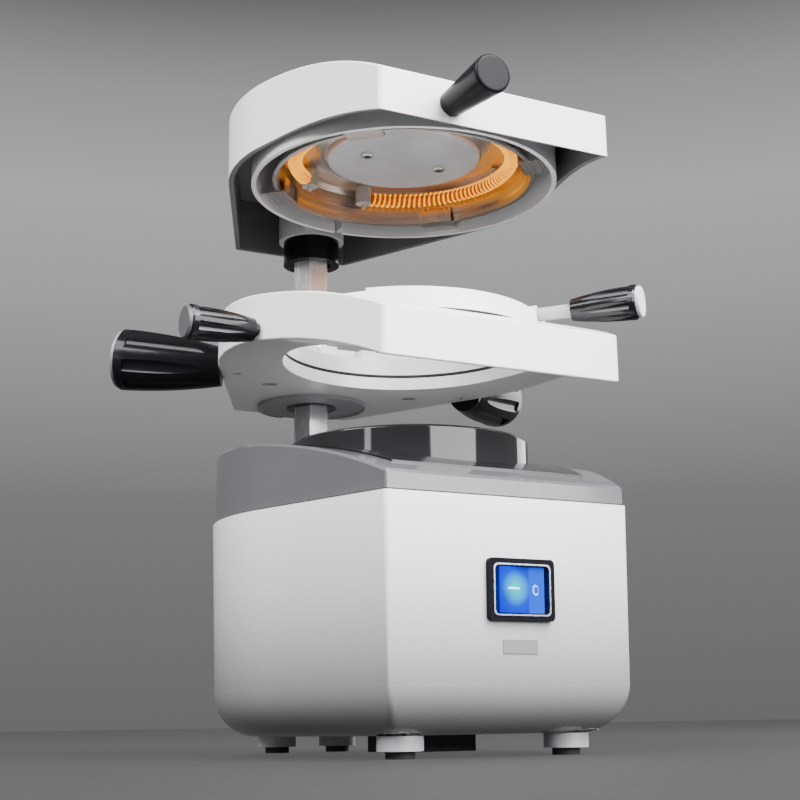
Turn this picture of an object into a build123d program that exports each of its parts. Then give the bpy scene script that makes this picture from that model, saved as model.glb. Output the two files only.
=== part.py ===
from build123d import *
from math import acos, atan2, cos, degrees, hypot, radians, sin, sqrt, tan
import os

# Tabletop vacuum former, millimetres.
# X runs to the right, Y to the rear, Z up; the platen's axis is X = Y = 0 and the floor is Z = 0.
# The files are written about the middle of the footprint, ORIGIN_Y behind the platen's axis.
# A white base, a sheet holder that slides on a hexagonal post behind the platen, and a heater
# head that swings about the same post. All three share one wedge-fronted, round-sided outline.

# ---------------------------------------------------------------- driving dimensions
# shared outline
FRONT_Y = -87.0
FRONT_HALF = 58.5
REAR_Y = 135.0
REAR_HALF = 33.5
SIDE_CENTRE_Y = 12.0
HEAD_SIDE_R = 80.7
HOLDER_SIDE_R = 84.5
BASE_SIDE_R = 85.8
COVER_INSET = 1.2

CORNER_R = 2.5
EDGE_R = 0.8

# fits and clearances
FIT = 0.1
RUN = 0.3
SHAFT_FIT = 0.05
THREAD_FIT = 0.02

# screws shared by the housings
SCREW_R = 2.0
SCREW_HEAD_R = 3.8
SCREW_HEAD_T = 2.5

# base
FOOT_PAD_H = 3.0
FOOT_PAD_R = 6.0
FOOT_R = 9.5
BASE_BOTTOM_Z = 9.0
BASE_TOP_Z = 103.8
BASE_WALL = 2.5
BASE_FLOOR = 3.0
BASE_BELLY_R = 19.0
SEAM_T = 0.8
FRONT_FOOT_X = 40.0
FRONT_FOOT_Y = -62.0
REAR_FOOT_X = 17.0
REAR_FOOT_Y = 112.0
BASE_DRAFT = 1.2
PILLAR_CORNER_X = 13.0
PILLAR_CORNER_Y = 17.5
PILLAR_REAR_DEG = 39.0
PILLAR_WALL_GAP = 2.2
PILLAR_R = 5.0
PILLAR_SPLIT_Z = 70.0
PILLAR_WEB = 6.0
COVER_SCREW_REACH = 10.0

# brow: every upper face falls towards the front on one long arc
BROW_R = 255.0
BROW_LEVEL_Y = 20.0
COVER_FLAT_Z = 135.0
COVER_WALL = 2.5
COVER_CHAMFER = 1.0
PANEL_T = 0.8
PANEL_MARGIN = 14.0

# platen
PLATEN_R = 56.0
PLATEN_TOP_Z = 139.5
PLATEN_BOTTOM_Z = 118.0
PLATEN_FLOOR = 3.0
PLATEN_RIM = 4.0
PLATEN_DEPTH = 8.0
PLATE_T = 2.0
PLATE_HOLE_R = 1.4
PLATE_HOLE_RINGS = 5
PLATE_HOLE_STEP = 9.0
WELL_WALL = 5.0
WELL_SHELF_T = 3.0
SEAL_W = 1.6
SEAL_T = 1.2
SEAL_STAND = 0.3
SEAL_INSET = 1.2
DUCT_R = 14.0
DUCT_WALL = 2.0
DUCT_FLANGE_W = 6.0
DUCT_FLANGE_T = 2.0

# vacuum motor
MOTOR_R = 37.0
MOTOR_WALL = 2.0
MOTOR_BOTTOM_Z = 18.0
MOTOR_TOP_Z = 92.0
MOTOR_PLATE_T = 3.0
ROTOR_R = 30.0
ROTOR_H = 16.0
ROTOR_BLADES = 10
SHAFT_R = 4.0
ARMATURE_R = 15.0
STATOR_R = 31.0
STATOR_BORE_R = 17.0
STATOR_H = 34.0
STATOR_SLOT = 8.0
MOTOR_FLANGE_W = 5.0
MOTOR_LEG_R = 4.0
VENT_W = 6.0
VENT_H = 18.0
EXHAUST_W = 38.0
EXHAUST_D = 30.0
EXHAUST_WALL = 4.0
EXHAUST_BOTTOM_Z = 1.6
EXHAUST_BAR_STEP = 7.0
EXHAUST_BAR_T = 1.6

# post
POST_Y = 107.0
POST_FLATS = 17.5
POST_BOTTOM_Z = 62.0
POST_HEX_TOP_Z = 268.0
SPIGOT_R = 7.8
BRACKET_R = 15.0
BRACKET_PLATE_T = 4.0
BRACKET_PLATE_Z = 52.0
BRACKET_HALF_X = 30.0
BRACKET_HALF_Y = 22.0
BRACKET_RIB_T = 4.0
BRACKET_SCREW_LEN = 12.0
BRACKET_SCREW_Y = 12.0
POST_BOLT_R = 3.0
POST_BOLT_HEAD_R = 6.0
POST_BOLT_HEAD_T = 4.0
POST_BOLT_REACH = 12.0

# switch and label
SWITCH_X = 3.0
SWITCH_Z = 66.0
SWITCH_W = 31.6
SWITCH_H = 25.2
BEZEL_T = 2.4
BEZEL_RIM = 1.2
SWITCH_FRAME_T = 0.7
SWITCH_FRAME_D = 1.5
BLADE_X = 6.0
BLADE_T = 0.8
BLADE_H = 6.0
BLADE_REACH = 8.0
AXLE_R = 1.5
ROCKER_AXIS_DEPTH = 6.0
SWITCH_DEPTH = 22.0
ROCKER_THROW = 7.0
LABEL_W = 16.5
LABEL_H = 5.5
LABEL_Z = 43.3
LABEL_T = 0.4

# mains inlet
INLET_Z = 32.0
INLET_W = 27.0
INLET_H = 20.0
INLET_FLANGE = 3.0
INLET_FLANGE_T = 3.0
INLET_PAD = 1.5
INLET_DEPTH = 20.0
PIN_W = 2.0
PIN_H = 4.0
PIN_STEP = 7.0
PIN_LEN = 13.0
INLET_BACK = 3.0
SOCKET_WALL = 1.5
FUSE_H = 7.0
DRAWER_LIP = 1.2
FUSE_R = 2.4
FUSE_LEN = 19.0
TERMINAL_STEP = 9.5
TERMINAL_BLOCK_Y = 59.0
TERMINAL_BLOCK_D = 14.0
TERMINAL_BLOCK_H = 12.0
TERMINAL_SCREW_R = 2.1

# sheet holder
HOLDER_FLAT_Z = 181.5
HOLDER_T = 21.5
HOLDER_WALL = 3.0
OPENING_R = 58.8
SEAT_Z = 187.5
SEAT_R = 67.3
RING_WALL = 3.0
GASKET_T = 0.8
BUSH_R = 13.2
BUSH_BOSS_R = 17.5
BUSH_STAND = 2.0
FLANGE_R = 29.0
FLANGE_T = 1.5
FLANGE_RIM_T = 2.0
FLANGE_RIM_W = 1.6
LID_SCREW_X = 40.0
LID_SCREW_Y = 71.0
LID_REST_X = 50.0
LID_REST_Y = -64.0
LID_T = 2.5
HOLDER_PILLAR_R = 4.0

# clamp ring and its hinge
CLAMP_Z = SEAT_Z + 2 * GASKET_T
CLAMP_LOW_T = 8.0
CLAMP_WALL_T = 5.0
CLAMP_TOP_Z = 199.6
CLAMP_R = 66.3
CLAMP_LIP_R = 62.6
LIP_START_DEG = -135.0
LIP_END_DEG = 55.0
HINGE_Y = 76.0
HINGE_Z = 198.0
HINGE_PIN_R = 2.0
EAR_R = 4.4
EAR_T = 8.0
EAR_GAP = 14.0
HINGE_BLOCK_HALF = 23.0
HINGE_BLOCK_Y0 = 60.0
HINGE_BLOCK_WALL = 3.0

# handles and knobs
BIG_HANDLE_Y = 61.0
BIG_HANDLE_Z = 185.2
BIG_HANDLE_TURN = 38.0
BIG_HANDLE_RISE = 7.5
BIG_GRIP = (9.4, 15.2, 52.0)
BIG_STUD_SUNK = 9.0
BIG_GRIP_BACKSET = 5.0
SMALL_GRIP = (5.2, 8.0, 30.5)
STUD_R = 3.0
STUD_REACH = 24.0
STUD_BOSS_R = 6.0
CAP_T = 1.6
CAP_INSET = 0.9
GRIP_BEVEL = 0.8
GRIP_BULGE = 0.08
FLUTES = 8
FLUTE_DEPTH = 1.4
FLUTE_LAND = 0.1
FLUTE_RUN = 0.72
LOCK_Y = -10.0
LOCK_Z = 184.6
LUG_W = 8.0
LUG_T = 3.6
LUG_BELOW = 2.8
LUG_SWING = 1.4
LEVER_DEG = -52.0
LEVER_ROD_R = 3.1
LEVER_ROD_LEN = 20.0
LEVER_Z = 196.0
LEVER_BOSS_R = 4.4
LEVER_BOSS_LEN = 6.0

# heater head
HEAD_FLAT_Z = 305.0
HEAD_TOP_LEVEL_Y = -5.0
HEAD_TOP_R = 168.0
HEAD_RIM_Z = 273.6
HEAD_RIM_LEVEL_Y = -25.0
HEAD_RIM_R = 205.0
HEAD_WALL = 2.5
SKIRT_R = 74.2
SKIRT_T = 2.2
SKIRT_BOTTOM_Z = 269.0
BOSS_R = 17.8
COLLAR_R = 15.3
COLLAR_BOTTOM_Z = 260.4
WASHER_R = 12.0
WASHER_T = 1.5
TOP_SCREW_R = 2.5
TOP_SCREW_LEN = 14.0
TOP_SCREW_HEAD_R = 5.0
TOP_SCREW_HEAD_T = 2.5
ROOF_GAP = 4.0
WEB_X = 9.0
WEB_T = 3.0
SKIRT_NOTCH_W = 5.0
SKIRT_NOTCH_H = 9.0

# heater
REFLECTOR_R = 64.0
REFLECTOR_RIM_Z = 272.0
REFLECTOR_TOP_Z = 288.0
REFLECTOR_T = 0.9
DISC_R = 37.5
DISC_Z = 283.2
DISC_T = 2.2
DISC_SCREW_X = 20.0
DISC_SCREW_R = 1.5
DISC_SCREW_HEAD_R = 3.3
DISC_SCREW_HEAD_T = 1.8
DISC_EDGE_R = 1.2
COIL_R = 53.0
COIL_SECTION_R = 3.7
COIL_Z = 282.2
COIL_GAP_FROM = 80.0
COIL_GAP_TO = 130.0
TERMINAL_R = 4.0
TERMINAL_STUD_R = 1.3
TERMINAL_STUD_REACH = 5.0
BEAD_R = 2.0
TAB_W = 17.0
TAB_H = 7.0
TAB_R = 58.4
TAB_T = 0.8
STANDOFF_R = 3.0
STANDOFF_RING_R = 46.0
HEAD_HANDLE_X = -24.0
HEAD_HANDLE_Z = 272.9
HEAD_GRIP = (5.8, 8.6, 34.0)
HEAD_GRIP_EDGE_R = 1.4
HEAD_STUD_R = 2.2
HEAD_STUD_REACH = 13.0
HEAD_NUT_R = 4.0
HEAD_NUT_T = 3.0

# ---------------------------------------------------------------- derived heights
BASE_FLOOR_Z = BASE_BOTTOM_Z + BASE_FLOOR
COVER_BASE_Z = BASE_TOP_Z + SEAM_T
HOLDER_TOP_Z = HOLDER_FLAT_Z + HOLDER_T
PLATEN_DUCT_Z = PLATEN_TOP_Z - PLATEN_DEPTH - PLATEN_FLOOR
MOTOR_MID_Y = -8.0
FAR = 400.0
HEX_CORNER_R = POST_FLATS / sqrt(3)
ROCKER_AXIS_Y = FRONT_Y + ROCKER_AXIS_DEPTH
DRAFT_IN = (BASE_TOP_Z - BASE_BOTTOM_Z) * tan(radians(BASE_DRAFT))
HINGE_BLOCK_Y1 = HINGE_Y + EAR_R + RUN + HINGE_BLOCK_WALL
SPIGOT_TOP_Z = HEAD_FLAT_Z - HEAD_WALL - WASHER_T - ROOF_GAP
PLATE_TOP_Z = PLATEN_TOP_Z - 0.2
PLATE_SEAT_Z = PLATE_TOP_Z - PLATE_T
BEZEL_INNER_W = SWITCH_W - 2 * BEZEL_RIM
BEZEL_INNER_H = SWITCH_H - 2 * BEZEL_RIM
BEZEL_SKIN = 0.8
SOCKET_Z0 = INLET_Z - INLET_H / 2 + FUSE_H + SOCKET_WALL
PIN_Z0 = SOCKET_Z0 + SOCKET_WALL
FUSE_ROOM_TOP_Z = SOCKET_Z0 - SOCKET_WALL + RUN
INLET_REAR_Y = REAR_Y + INLET_FLANGE_T
INLET_BACK_Y = REAR_Y - INLET_DEPTH + INLET_BACK
DRAWER_REAR_Y = INLET_REAR_Y + DRAWER_LIP
HEAD_GRIP_END_Y = FRONT_Y - HEAD_GRIP[2]
ORIGIN_Y = (DRAWER_REAR_Y + HEAD_GRIP_END_Y) / 2

# ---------------------------------------------------------------- places
FOOT_PLACES = [
    (side * x, y) for side in (-1, 1)
    for x, y in ((FRONT_FOOT_X, FRONT_FOOT_Y), (REAR_FOOT_X, REAR_FOOT_Y))
]
PILLAR_REAR_RADIUS = BASE_SIDE_R - COVER_INSET - COVER_WALL - PILLAR_WALL_GAP - PILLAR_R
PILLAR_REAR_X = PILLAR_REAR_RADIUS * cos(radians(PILLAR_REAR_DEG))
PILLAR_REAR_Y = SIDE_CENTRE_Y + PILLAR_REAR_RADIUS * sin(radians(PILLAR_REAR_DEG))
PILLAR_PLACES = [
    (side * x, y) for side in (-1, 1)
    for x, y in ((FRONT_HALF - PILLAR_CORNER_X, FRONT_Y + PILLAR_CORNER_Y), (PILLAR_REAR_X, PILLAR_REAR_Y))
]
BRACKET_SCREW_PLACES = [
    (side * (BRACKET_HALF_X - BRACKET_RIB_T), POST_Y + back)
    for side in (-1, 1) for back in (-BRACKET_SCREW_Y, BRACKET_SCREW_Y)
]


# ---------------------------------------------------------------- shape helpers
def tangent_point(corner, radius, side):
    """Point where the line from a corner touches the side circle."""
    dx, dy = corner[0], corner[1] - SIDE_CENTRE_Y
    turn = atan2(dy, dx) + side * acos(radius / hypot(dx, dy))
    return (radius * cos(turn), SIDE_CENTRE_Y + radius * sin(turn))


def outline(radius, inset=0.0):
    """Shared plan: straight front and rear, straight shoulders, round sides."""
    front = (FRONT_HALF, FRONT_Y)
    rear = (REAR_HALF, REAR_Y)
    low = tangent_point(front, radius, 1)
    high = tangent_point(rear, radius, -1)
    side = (radius, SIDE_CENTRE_Y)
    mirror_x = lambda p: (-p[0], p[1])
    edges = [
        Line(mirror_x(front), front),
        Line(front, low),
        ThreePointArc(low, side, high),
        Line(high, rear),
        Line(rear, mirror_x(rear)),
        Line(mirror_x(rear), mirror_x(high)),
        ThreePointArc(mirror_x(high), mirror_x(side), mirror_x(low)),
        Line(mirror_x(low), mirror_x(front)),
    ]
    face = make_face(Wire(edges))
    if inset:
        face = offset(face, amount=-inset, kind=Kind.INTERSECTION)
    ends = face.vertices().group_by(Axis.Y)
    return fillet(ends[0] + ends[-1], max(CORNER_R - inset, 0.5))


def prism(radius, z0, z1, inset=0.0):
    """The shared plan raised from z0 to z1."""
    return Pos(0, 0, z0) * extrude(outline(radius, inset), amount=z1 - z0)


def below_brow(flat_z, level_y=BROW_LEVEL_Y, brow_r=BROW_R):
    """Everything under a face that is level to the rear and falls on an arc to the front."""
    front_y = FRONT_Y - 20
    rear_y = REAR_Y + 20
    drop = lambda y: flat_z - brow_r + sqrt(brow_r**2 - (level_y - y) ** 2)
    middle_y = (front_y + level_y) / 2
    edges = [
        ThreePointArc((front_y, drop(front_y)), (middle_y, drop(middle_y)), (level_y, flat_z)),
        Line((level_y, flat_z), (rear_y, flat_z)),
        Line((rear_y, flat_z), (rear_y, -FAR)),
        Line((rear_y, -FAR), (front_y, -FAR)),
        Line((front_y, -FAR), (front_y, drop(front_y))),
    ]
    return extrude(Plane.YZ * make_face(Wire(edges)), amount=FAR / 2, both=True)


def rim_edges(body, up):
    """Outer edges of the faces that look up (up = 1) or down (up = -1)."""
    faces = [f for f in body.faces() if up * f.normal_at(f.center()).Z > 0.5]
    edges = [e for f in faces for e in f.edges()]
    middles = [e.position_at(0.5) for e in edges]
    return [e for e, m in zip(edges, middles) if sum((m - other).length < 0.01 for other in middles) == 1]


def cyl(r, z0, z1, x=0.0, y=0.0):
    """Upright cylinder from z0 to z1."""
    return Pos(x, y, (z0 + z1) / 2) * Cylinder(r, z1 - z0)


def tube(r_out, r_in, z0, z1, x=0.0, y=0.0):
    """Upright tube from z0 to z1."""
    return cyl(r_out, z0, z1, x, y) - cyl(r_in, z0 - 1, z1 + 1, x, y)


def box(x0, x1, y0, y1, z0, z1):
    """Box between two corners."""
    return Pos((x0 + x1) / 2, (y0 + y1) / 2, (z0 + z1) / 2) * Box(x1 - x0, y1 - y0, z1 - z0)


def hex_bar(flats, z0, z1, y):
    """Upright hexagonal bar with two flats square to Y."""
    hexagon = Pos(0, y) * RegularPolygon(flats / sqrt(3), 6)
    return Pos(0, 0, z0) * extrude(hexagon, amount=z1 - z0)


def along(origin, direction):
    """Plane at a point whose Z runs along the given direction."""
    return Plane(origin=origin, z_dir=direction)


def sector(r, z0, z1, start_deg, end_deg):
    """Upright wedge of a cylinder between two angles."""
    sweep = end_deg - start_deg
    return Rot(0, 0, start_deg) * Pos(0, 0, z0) * extrude(
        make_face(Wire([
            Line((0, 0), (r, 0)),
            CenterArc((0, 0), r, 0, sweep),
            Line((r * cos(radians(sweep)), r * sin(radians(sweep))), (0, 0)),
        ])), amount=z1 - z0)


def fluted_grip(root_r, end_r, length, backset=0.0):
    """Swelling grip along +Z from its narrow root, with flutes that fade out towards the root."""
    shoulder_z = length - GRIP_BEVEL
    middle = ((root_r + end_r) / 2 + GRIP_BULGE * end_r, length / 2)
    profile = make_face(Plane.XZ * Wire([
        Line((0, 0), (root_r, 0)),
        ThreePointArc((root_r, 0), middle, (end_r, shoulder_z)),
        Line((end_r, shoulder_z), (end_r - GRIP_BEVEL, length)),
        Line((end_r - GRIP_BEVEL, length), (0, length)),
        Line((0, length), (0, 0)),
    ]))
    grip = revolve(profile, Axis.Z)
    if backset:
        grip += Pos(0, 0, -backset / 2) * Cylinder(root_r, backset)
    grip -= Pos(0, 0, (STUD_REACH - backset) / 2) * Cylinder(STUD_R + FIT, STUD_REACH + backset)
    flute_r = end_r / 3
    top_z = length * (1 - FLUTE_LAND)
    run = length * FLUTE_RUN
    lean = degrees(atan2((end_r - root_r) * FLUTE_RUN - FLUTE_DEPTH, run))
    start = Pos(end_r - FLUTE_DEPTH + flute_r, 0, top_z) * Rot(0, lean, 0)
    for k in range(FLUTES):
        grip -= Rot(0, 0, 360 / FLUTES * (k + 0.5)) * start * Pos(0, 0, -length) * Cylinder(flute_r, 2 * length)
    return grip


def end_cap(grip):
    """Flat disc on the grip's outer end."""
    cap = Cylinder(grip[1] - CAP_INSET, CAP_T)
    cap = chamfer(cap.edges().sort_by(Axis.Z)[-1], CAP_T / 4)
    return Pos(0, 0, grip[2] + CAP_T / 2) * cap


def stud(sunk):
    """Steel stud in a grip's bore that also stands `sunk` deep in the casting."""
    return Pos(0, 0, (STUD_REACH - sunk) / 2) * Cylinder(STUD_R, STUD_REACH + sunk)


def save(name, *shapes):
    """One STEP file per node."""
    solids = []
    for shape in shapes:
        solids += shape.solids()
    body = solids[0] if len(solids) == 1 else Compound(solids)
    body = Pos(0, -ORIGIN_Y, 0) * body
    body.label = name
    export_step(body, f"parts/{name}.step")


def wall_x(y, radius):
    """Half width of the plan at y, between the two tangent points."""
    return sqrt(radius**2 - (y - SIDE_CENTRE_Y) ** 2)


# ---------------------------------------------------------------- base
def drafted(*shapes):
    """Parts on the tub's front face, leaned back about its upper edge by the draft."""
    lean = Pos(0, FRONT_Y, BASE_TOP_Z) * Rot(BASE_DRAFT, 0, 0) * Pos(0, -FRONT_Y, -BASE_TOP_Z)
    return [lean * shape for shape in shapes]


def belly(body, inset):
    """Round the lower edge of a tub."""
    return fillet(body.faces().sort_by(Axis.Z)[0].edges(), BASE_BELLY_R - inset)


def base_shell():
    """White tub that narrows a little downwards to a round belly, open at the top."""
    height = BASE_TOP_Z - BASE_BOTTOM_Z
    walls = extrude(outline(BASE_SIDE_R), amount=-height, taper=BASE_DRAFT)
    body = belly(Pos(0, 0, BASE_TOP_Z) * walls, 0)
    core_inset = BASE_WALL + DRAFT_IN
    body -= belly(prism(BASE_SIDE_R, BASE_FLOOR_Z, BASE_TOP_Z + 1, core_inset), core_inset)
    half_w = INLET_W / 2 + INLET_FLANGE + INLET_PAD
    half_h = INLET_H / 2 + INLET_FLANGE + INLET_PAD
    body += box(-half_w, half_w, REAR_Y - BASE_WALL - DRAFT_IN, REAR_Y, INLET_Z - half_h, INLET_Z + half_h)
    inside_inset = BASE_WALL / 2 + DRAFT_IN
    inside = belly(prism(BASE_SIDE_R, BASE_BOTTOM_Z, BASE_TOP_Z, inside_inset), inside_inset)
    for x, y in PILLAR_PLACES:
        pillar = cyl(PILLAR_R, BASE_BOTTOM_Z, PILLAR_SPLIT_Z, x, y) & inside
        body += pillar
    for side in (-1, 1):
        rib_x = side * (BRACKET_HALF_X - BRACKET_RIB_T)
        rib = box(rib_x - BRACKET_RIB_T / 2, rib_x + BRACKET_RIB_T / 2, POST_Y - BRACKET_HALF_Y,
                  REAR_Y - BASE_WALL / 2, BASE_BOTTOM_Z + 1, BRACKET_PLATE_Z)
        body += rib & inside
    for x, y in BRACKET_SCREW_PLACES:
        body -= cyl(SCREW_R, BRACKET_PLATE_Z - BRACKET_SCREW_LEN, BRACKET_PLATE_Z + 1, x, y)
    for x, y in PILLAR_PLACES:
        body -= cyl(SCREW_HEAD_R + RUN, 0, PILLAR_SPLIT_Z - PILLAR_WEB, x, y)
        body -= cyl(SCREW_R + FIT, 0, PILLAR_SPLIT_Z + 1, x, y)
    for x, y in FOOT_PLACES:
        body -= cyl(SCREW_R + FIT, 0, BASE_FLOOR_Z + 1, x, y)
    hole_w = BEZEL_INNER_W + 2 * FIT
    hole_h = BEZEL_INNER_H + 2 * FIT
    body -= drafted(switch_plate(hole_w, hole_h, FRONT_Y - 5, FRONT_Y + 10))[0]
    body -= box(-INLET_W / 2 - FIT, INLET_W / 2 + FIT, REAR_Y - 10, REAR_Y + 5,
                INLET_Z - INLET_H / 2 - FIT, INLET_Z + INLET_H / 2 + FIT)
    return body - exhaust_room(0, BASE_FLOOR_Z + 1)


def seam_gasket():
    """Thin black gasket between the tub and the cover."""
    return prism(BASE_SIDE_R, BASE_TOP_Z, COVER_BASE_Z, COVER_INSET) - prism(
        BASE_SIDE_R, BASE_TOP_Z - 1, COVER_BASE_Z + 1, COVER_INSET + BASE_WALL)


def top_cover():
    """Grey cover that rises from a low front edge to a level rear."""
    block = prism(BASE_SIDE_R, COVER_BASE_Z, COVER_FLAT_Z + 1, COVER_INSET) & below_brow(COVER_FLAT_Z)
    block = chamfer(rim_edges(block, 1), COVER_CHAMFER)
    core = prism(BASE_SIDE_R, COVER_BASE_Z - 1, COVER_FLAT_Z, COVER_INSET + COVER_WALL)
    block -= core & below_brow(COVER_FLAT_Z - COVER_WALL)
    under_skin = below_brow(COVER_FLAT_Z - COVER_WALL / 2)
    for x, y in PILLAR_PLACES:
        pillar = cyl(PILLAR_R, PILLAR_SPLIT_Z, COVER_FLAT_Z, x, y) & under_skin
        block += pillar - cyl(SCREW_R, PILLAR_SPLIT_Z - 1, PILLAR_SPLIT_Z + COVER_SCREW_REACH + 2, x, y)
    block -= cyl(PLATEN_R + FIT, PLATEN_BOTTOM_Z, COVER_FLAT_Z + 5)
    well_r = PLATEN_R + WELL_WALL
    shelf_z = PLATEN_BOTTOM_Z - WELL_SHELF_T
    block += tube(well_r, PLATEN_R - PLATEN_RIM - 2, shelf_z, PLATEN_BOTTOM_Z) & under_skin
    block += tube(well_r, PLATEN_R + FIT, shelf_z, COVER_FLAT_Z) & under_skin
    block -= hex_bar(POST_FLATS + 2 * RUN, COVER_BASE_Z, COVER_FLAT_Z + 5, POST_Y)
    return block


def top_panel():
    """Black panel let onto the cover in front of the platen, following its slope."""
    sheet = prism(BASE_SIDE_R, COVER_BASE_Z, COVER_FLAT_Z + 5, COVER_INSET + PANEL_MARGIN)
    sheet = (sheet & below_brow(COVER_FLAT_Z + PANEL_T)) - below_brow(COVER_FLAT_Z)
    sheet &= box(-FAR, FAR, FRONT_Y, 0, 0, FAR)
    return sheet - cyl(PLATEN_R + RUN, COVER_BASE_Z, COVER_FLAT_Z + 5)


def platen_cup():
    """Black cup with a thick floor, sunk into the cover."""
    cup = cyl(PLATEN_R, PLATEN_BOTTOM_Z, PLATEN_TOP_Z)
    cup = fillet(cup.edges().sort_by(Axis.Z)[-1], 1.0)
    cup -= cyl(PLATEN_R - PLATEN_RIM, PLATE_SEAT_Z, PLATEN_TOP_Z + 1)
    cup -= cyl(PLATEN_R - PLATEN_RIM - 2.5, PLATEN_TOP_Z - PLATEN_DEPTH, PLATEN_TOP_Z + 1)
    cup -= cyl(PLATEN_R - PLATEN_RIM, PLATEN_BOTTOM_Z - 1, PLATEN_DUCT_Z)
    for turn in range(0, 360, 60):
        cup += Rot(0, 0, turn) * box(DUCT_R + DUCT_FLANGE_W, PLATEN_R - PLATEN_RIM - 1, -1, 1,
                                     PLATEN_TOP_Z - PLATEN_DEPTH - 1, PLATE_SEAT_Z)
    cup -= seal_ring(THREAD_FIT, PLATEN_TOP_Z + 1)
    return cup - cyl(DUCT_R - DUCT_WALL, PLATEN_BOTTOM_Z - 1, PLATEN_TOP_Z)


def perforated_plate():
    """Steel plate with rings of vent holes."""
    plate = cyl(PLATEN_R - PLATEN_RIM - FIT, PLATE_SEAT_Z, PLATE_TOP_Z)
    hole = cyl(PLATE_HOLE_R, PLATE_SEAT_Z - 1, PLATE_TOP_Z + 1)
    plate -= hole
    for ring in range(1, PLATE_HOLE_RINGS + 1):
        plate -= [place * hole for place in PolarLocations(ring * PLATE_HOLE_STEP, 6 * ring)]
    return plate


def seal_ring(fit, top):
    """Ring on the platen's rim, bare or grown by its groove's clearance."""
    outer = PLATEN_R - SEAL_INSET
    return tube(outer + fit, outer - SEAL_W - fit, PLATEN_TOP_Z - SEAL_T, top)


def platen_seal():
    """Rubber ring let into the top of the platen's rim."""
    return seal_ring(0, PLATEN_TOP_Z + SEAL_STAND)


def air_duct():
    """Tube from the platen's floor down to the motor can, flanged at the top."""
    top = PLATEN_DUCT_Z
    duct = tube(DUCT_R, DUCT_R - DUCT_WALL, MOTOR_TOP_Z, top)
    return duct + tube(DUCT_R + DUCT_FLANGE_W, DUCT_R - DUCT_WALL, top - DUCT_FLANGE_T, top)


def motor_can():
    """Turned can, open below, closed by a top with the suction hole."""
    can = cyl(MOTOR_R, MOTOR_BOTTOM_Z, MOTOR_TOP_Z) - cyl(MOTOR_R - MOTOR_WALL, MOTOR_BOTTOM_Z - 1,
                                                          MOTOR_TOP_Z - MOTOR_WALL)
    can -= cyl(DUCT_R - DUCT_WALL, MOTOR_TOP_Z - 5, MOTOR_TOP_Z + 1)
    can += tube(MOTOR_R + MOTOR_FLANGE_W, MOTOR_R - MOTOR_WALL, MOTOR_BOTTOM_Z,
                MOTOR_BOTTOM_Z + MOTOR_PLATE_T)
    vent_z = MOTOR_BOTTOM_Z + 2 * VENT_W
    vent = box(MOTOR_R - 5, MOTOR_R + 2, -VENT_W / 2, VENT_W / 2, vent_z, vent_z + VENT_H)
    return can - [Rot(0, 0, turn) * vent for turn in range(0, 360, 45)]


def motor_plate():
    """Plate that carries the can, standing on the floor on four legs."""
    plate = cyl(MOTOR_R + MOTOR_FLANGE_W, MOTOR_BOTTOM_Z - MOTOR_PLATE_T, MOTOR_BOTTOM_Z)
    for turn in range(45, 360, 90):
        plate += Rot(0, 0, turn) * cyl(MOTOR_LEG_R, BASE_FLOOR_Z, MOTOR_BOTTOM_Z, MOTOR_R, 0)
    for turn in range(0, 360, 60):
        plate -= Rot(0, 0, turn) * cyl(5, 0, MOTOR_BOTTOM_Z + 1, MOTOR_R / 2, 0)
    return plate - cyl(SHAFT_R + SHAFT_FIT, 0, MOTOR_BOTTOM_Z + 1)


def motor_stator():
    """Wound core in the can, fixed to the plate."""
    core = tube(STATOR_R, STATOR_BORE_R, MOTOR_BOTTOM_Z, MOTOR_BOTTOM_Z + STATOR_H)
    slot = box(STATOR_BORE_R + 3, STATOR_R - 3, -STATOR_SLOT / 2, STATOR_SLOT / 2,
               MOTOR_BOTTOM_Z - 1, MOTOR_BOTTOM_Z + STATOR_H + 1)
    return core - [Rot(0, 0, turn) * slot for turn in range(0, 360, 60)]


def fan_rotor():
    """Shaft, armature and bladed fan in one turning piece."""
    fan_top = MOTOR_TOP_Z - MOTOR_WALL - 4
    fan_bottom = fan_top - ROTOR_H
    rotor = cyl(SHAFT_R, MOTOR_BOTTOM_Z - MOTOR_PLATE_T, fan_top)
    rotor += cyl(ARMATURE_R, MOTOR_BOTTOM_Z + 6, MOTOR_BOTTOM_Z + STATOR_H - 2)
    rotor += cyl(ROTOR_R, fan_bottom, fan_bottom + 2)
    rotor += cyl(SHAFT_R + 4, fan_bottom, fan_top)
    for blade in range(ROTOR_BLADES):
        vane = Pos(16, 4, 0) * Rot(0, 0, 25) * box(-12, 10, -0.8, 0.8, fan_bottom, fan_top)
        rotor += Rot(0, 0, 360 / ROTOR_BLADES * blade) * vane
    return rotor & cyl(ROTOR_R, 0, FAR)


def exhaust_room(z0, z1, wall=EXHAUST_WALL):
    """The air outlet's clear shaft, or the block itself with no wall."""
    half_w = EXHAUST_W / 2 - wall
    half_d = EXHAUST_D / 2 - wall
    return box(-half_w, half_w, MOTOR_MID_Y - half_d, MOTOR_MID_Y + half_d, z0, z1)


def exhaust_block():
    """Black block under the floor with a downward air outlet behind bars."""
    block = exhaust_room(EXHAUST_BOTTOM_Z, BASE_BOTTOM_Z, 0) - exhaust_room(0, BASE_BOTTOM_Z + 1)
    for k in (-1, 0, 1):
        bar_y = MOTOR_MID_Y + k * EXHAUST_BAR_STEP
        block += box(-EXHAUST_W / 2 + 1, EXHAUST_W / 2 - 1, bar_y - EXHAUST_BAR_T / 2,
                     bar_y + EXHAUST_BAR_T / 2, EXHAUST_BOTTOM_Z + 1, EXHAUST_BOTTOM_Z + 3)
    return block


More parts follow.
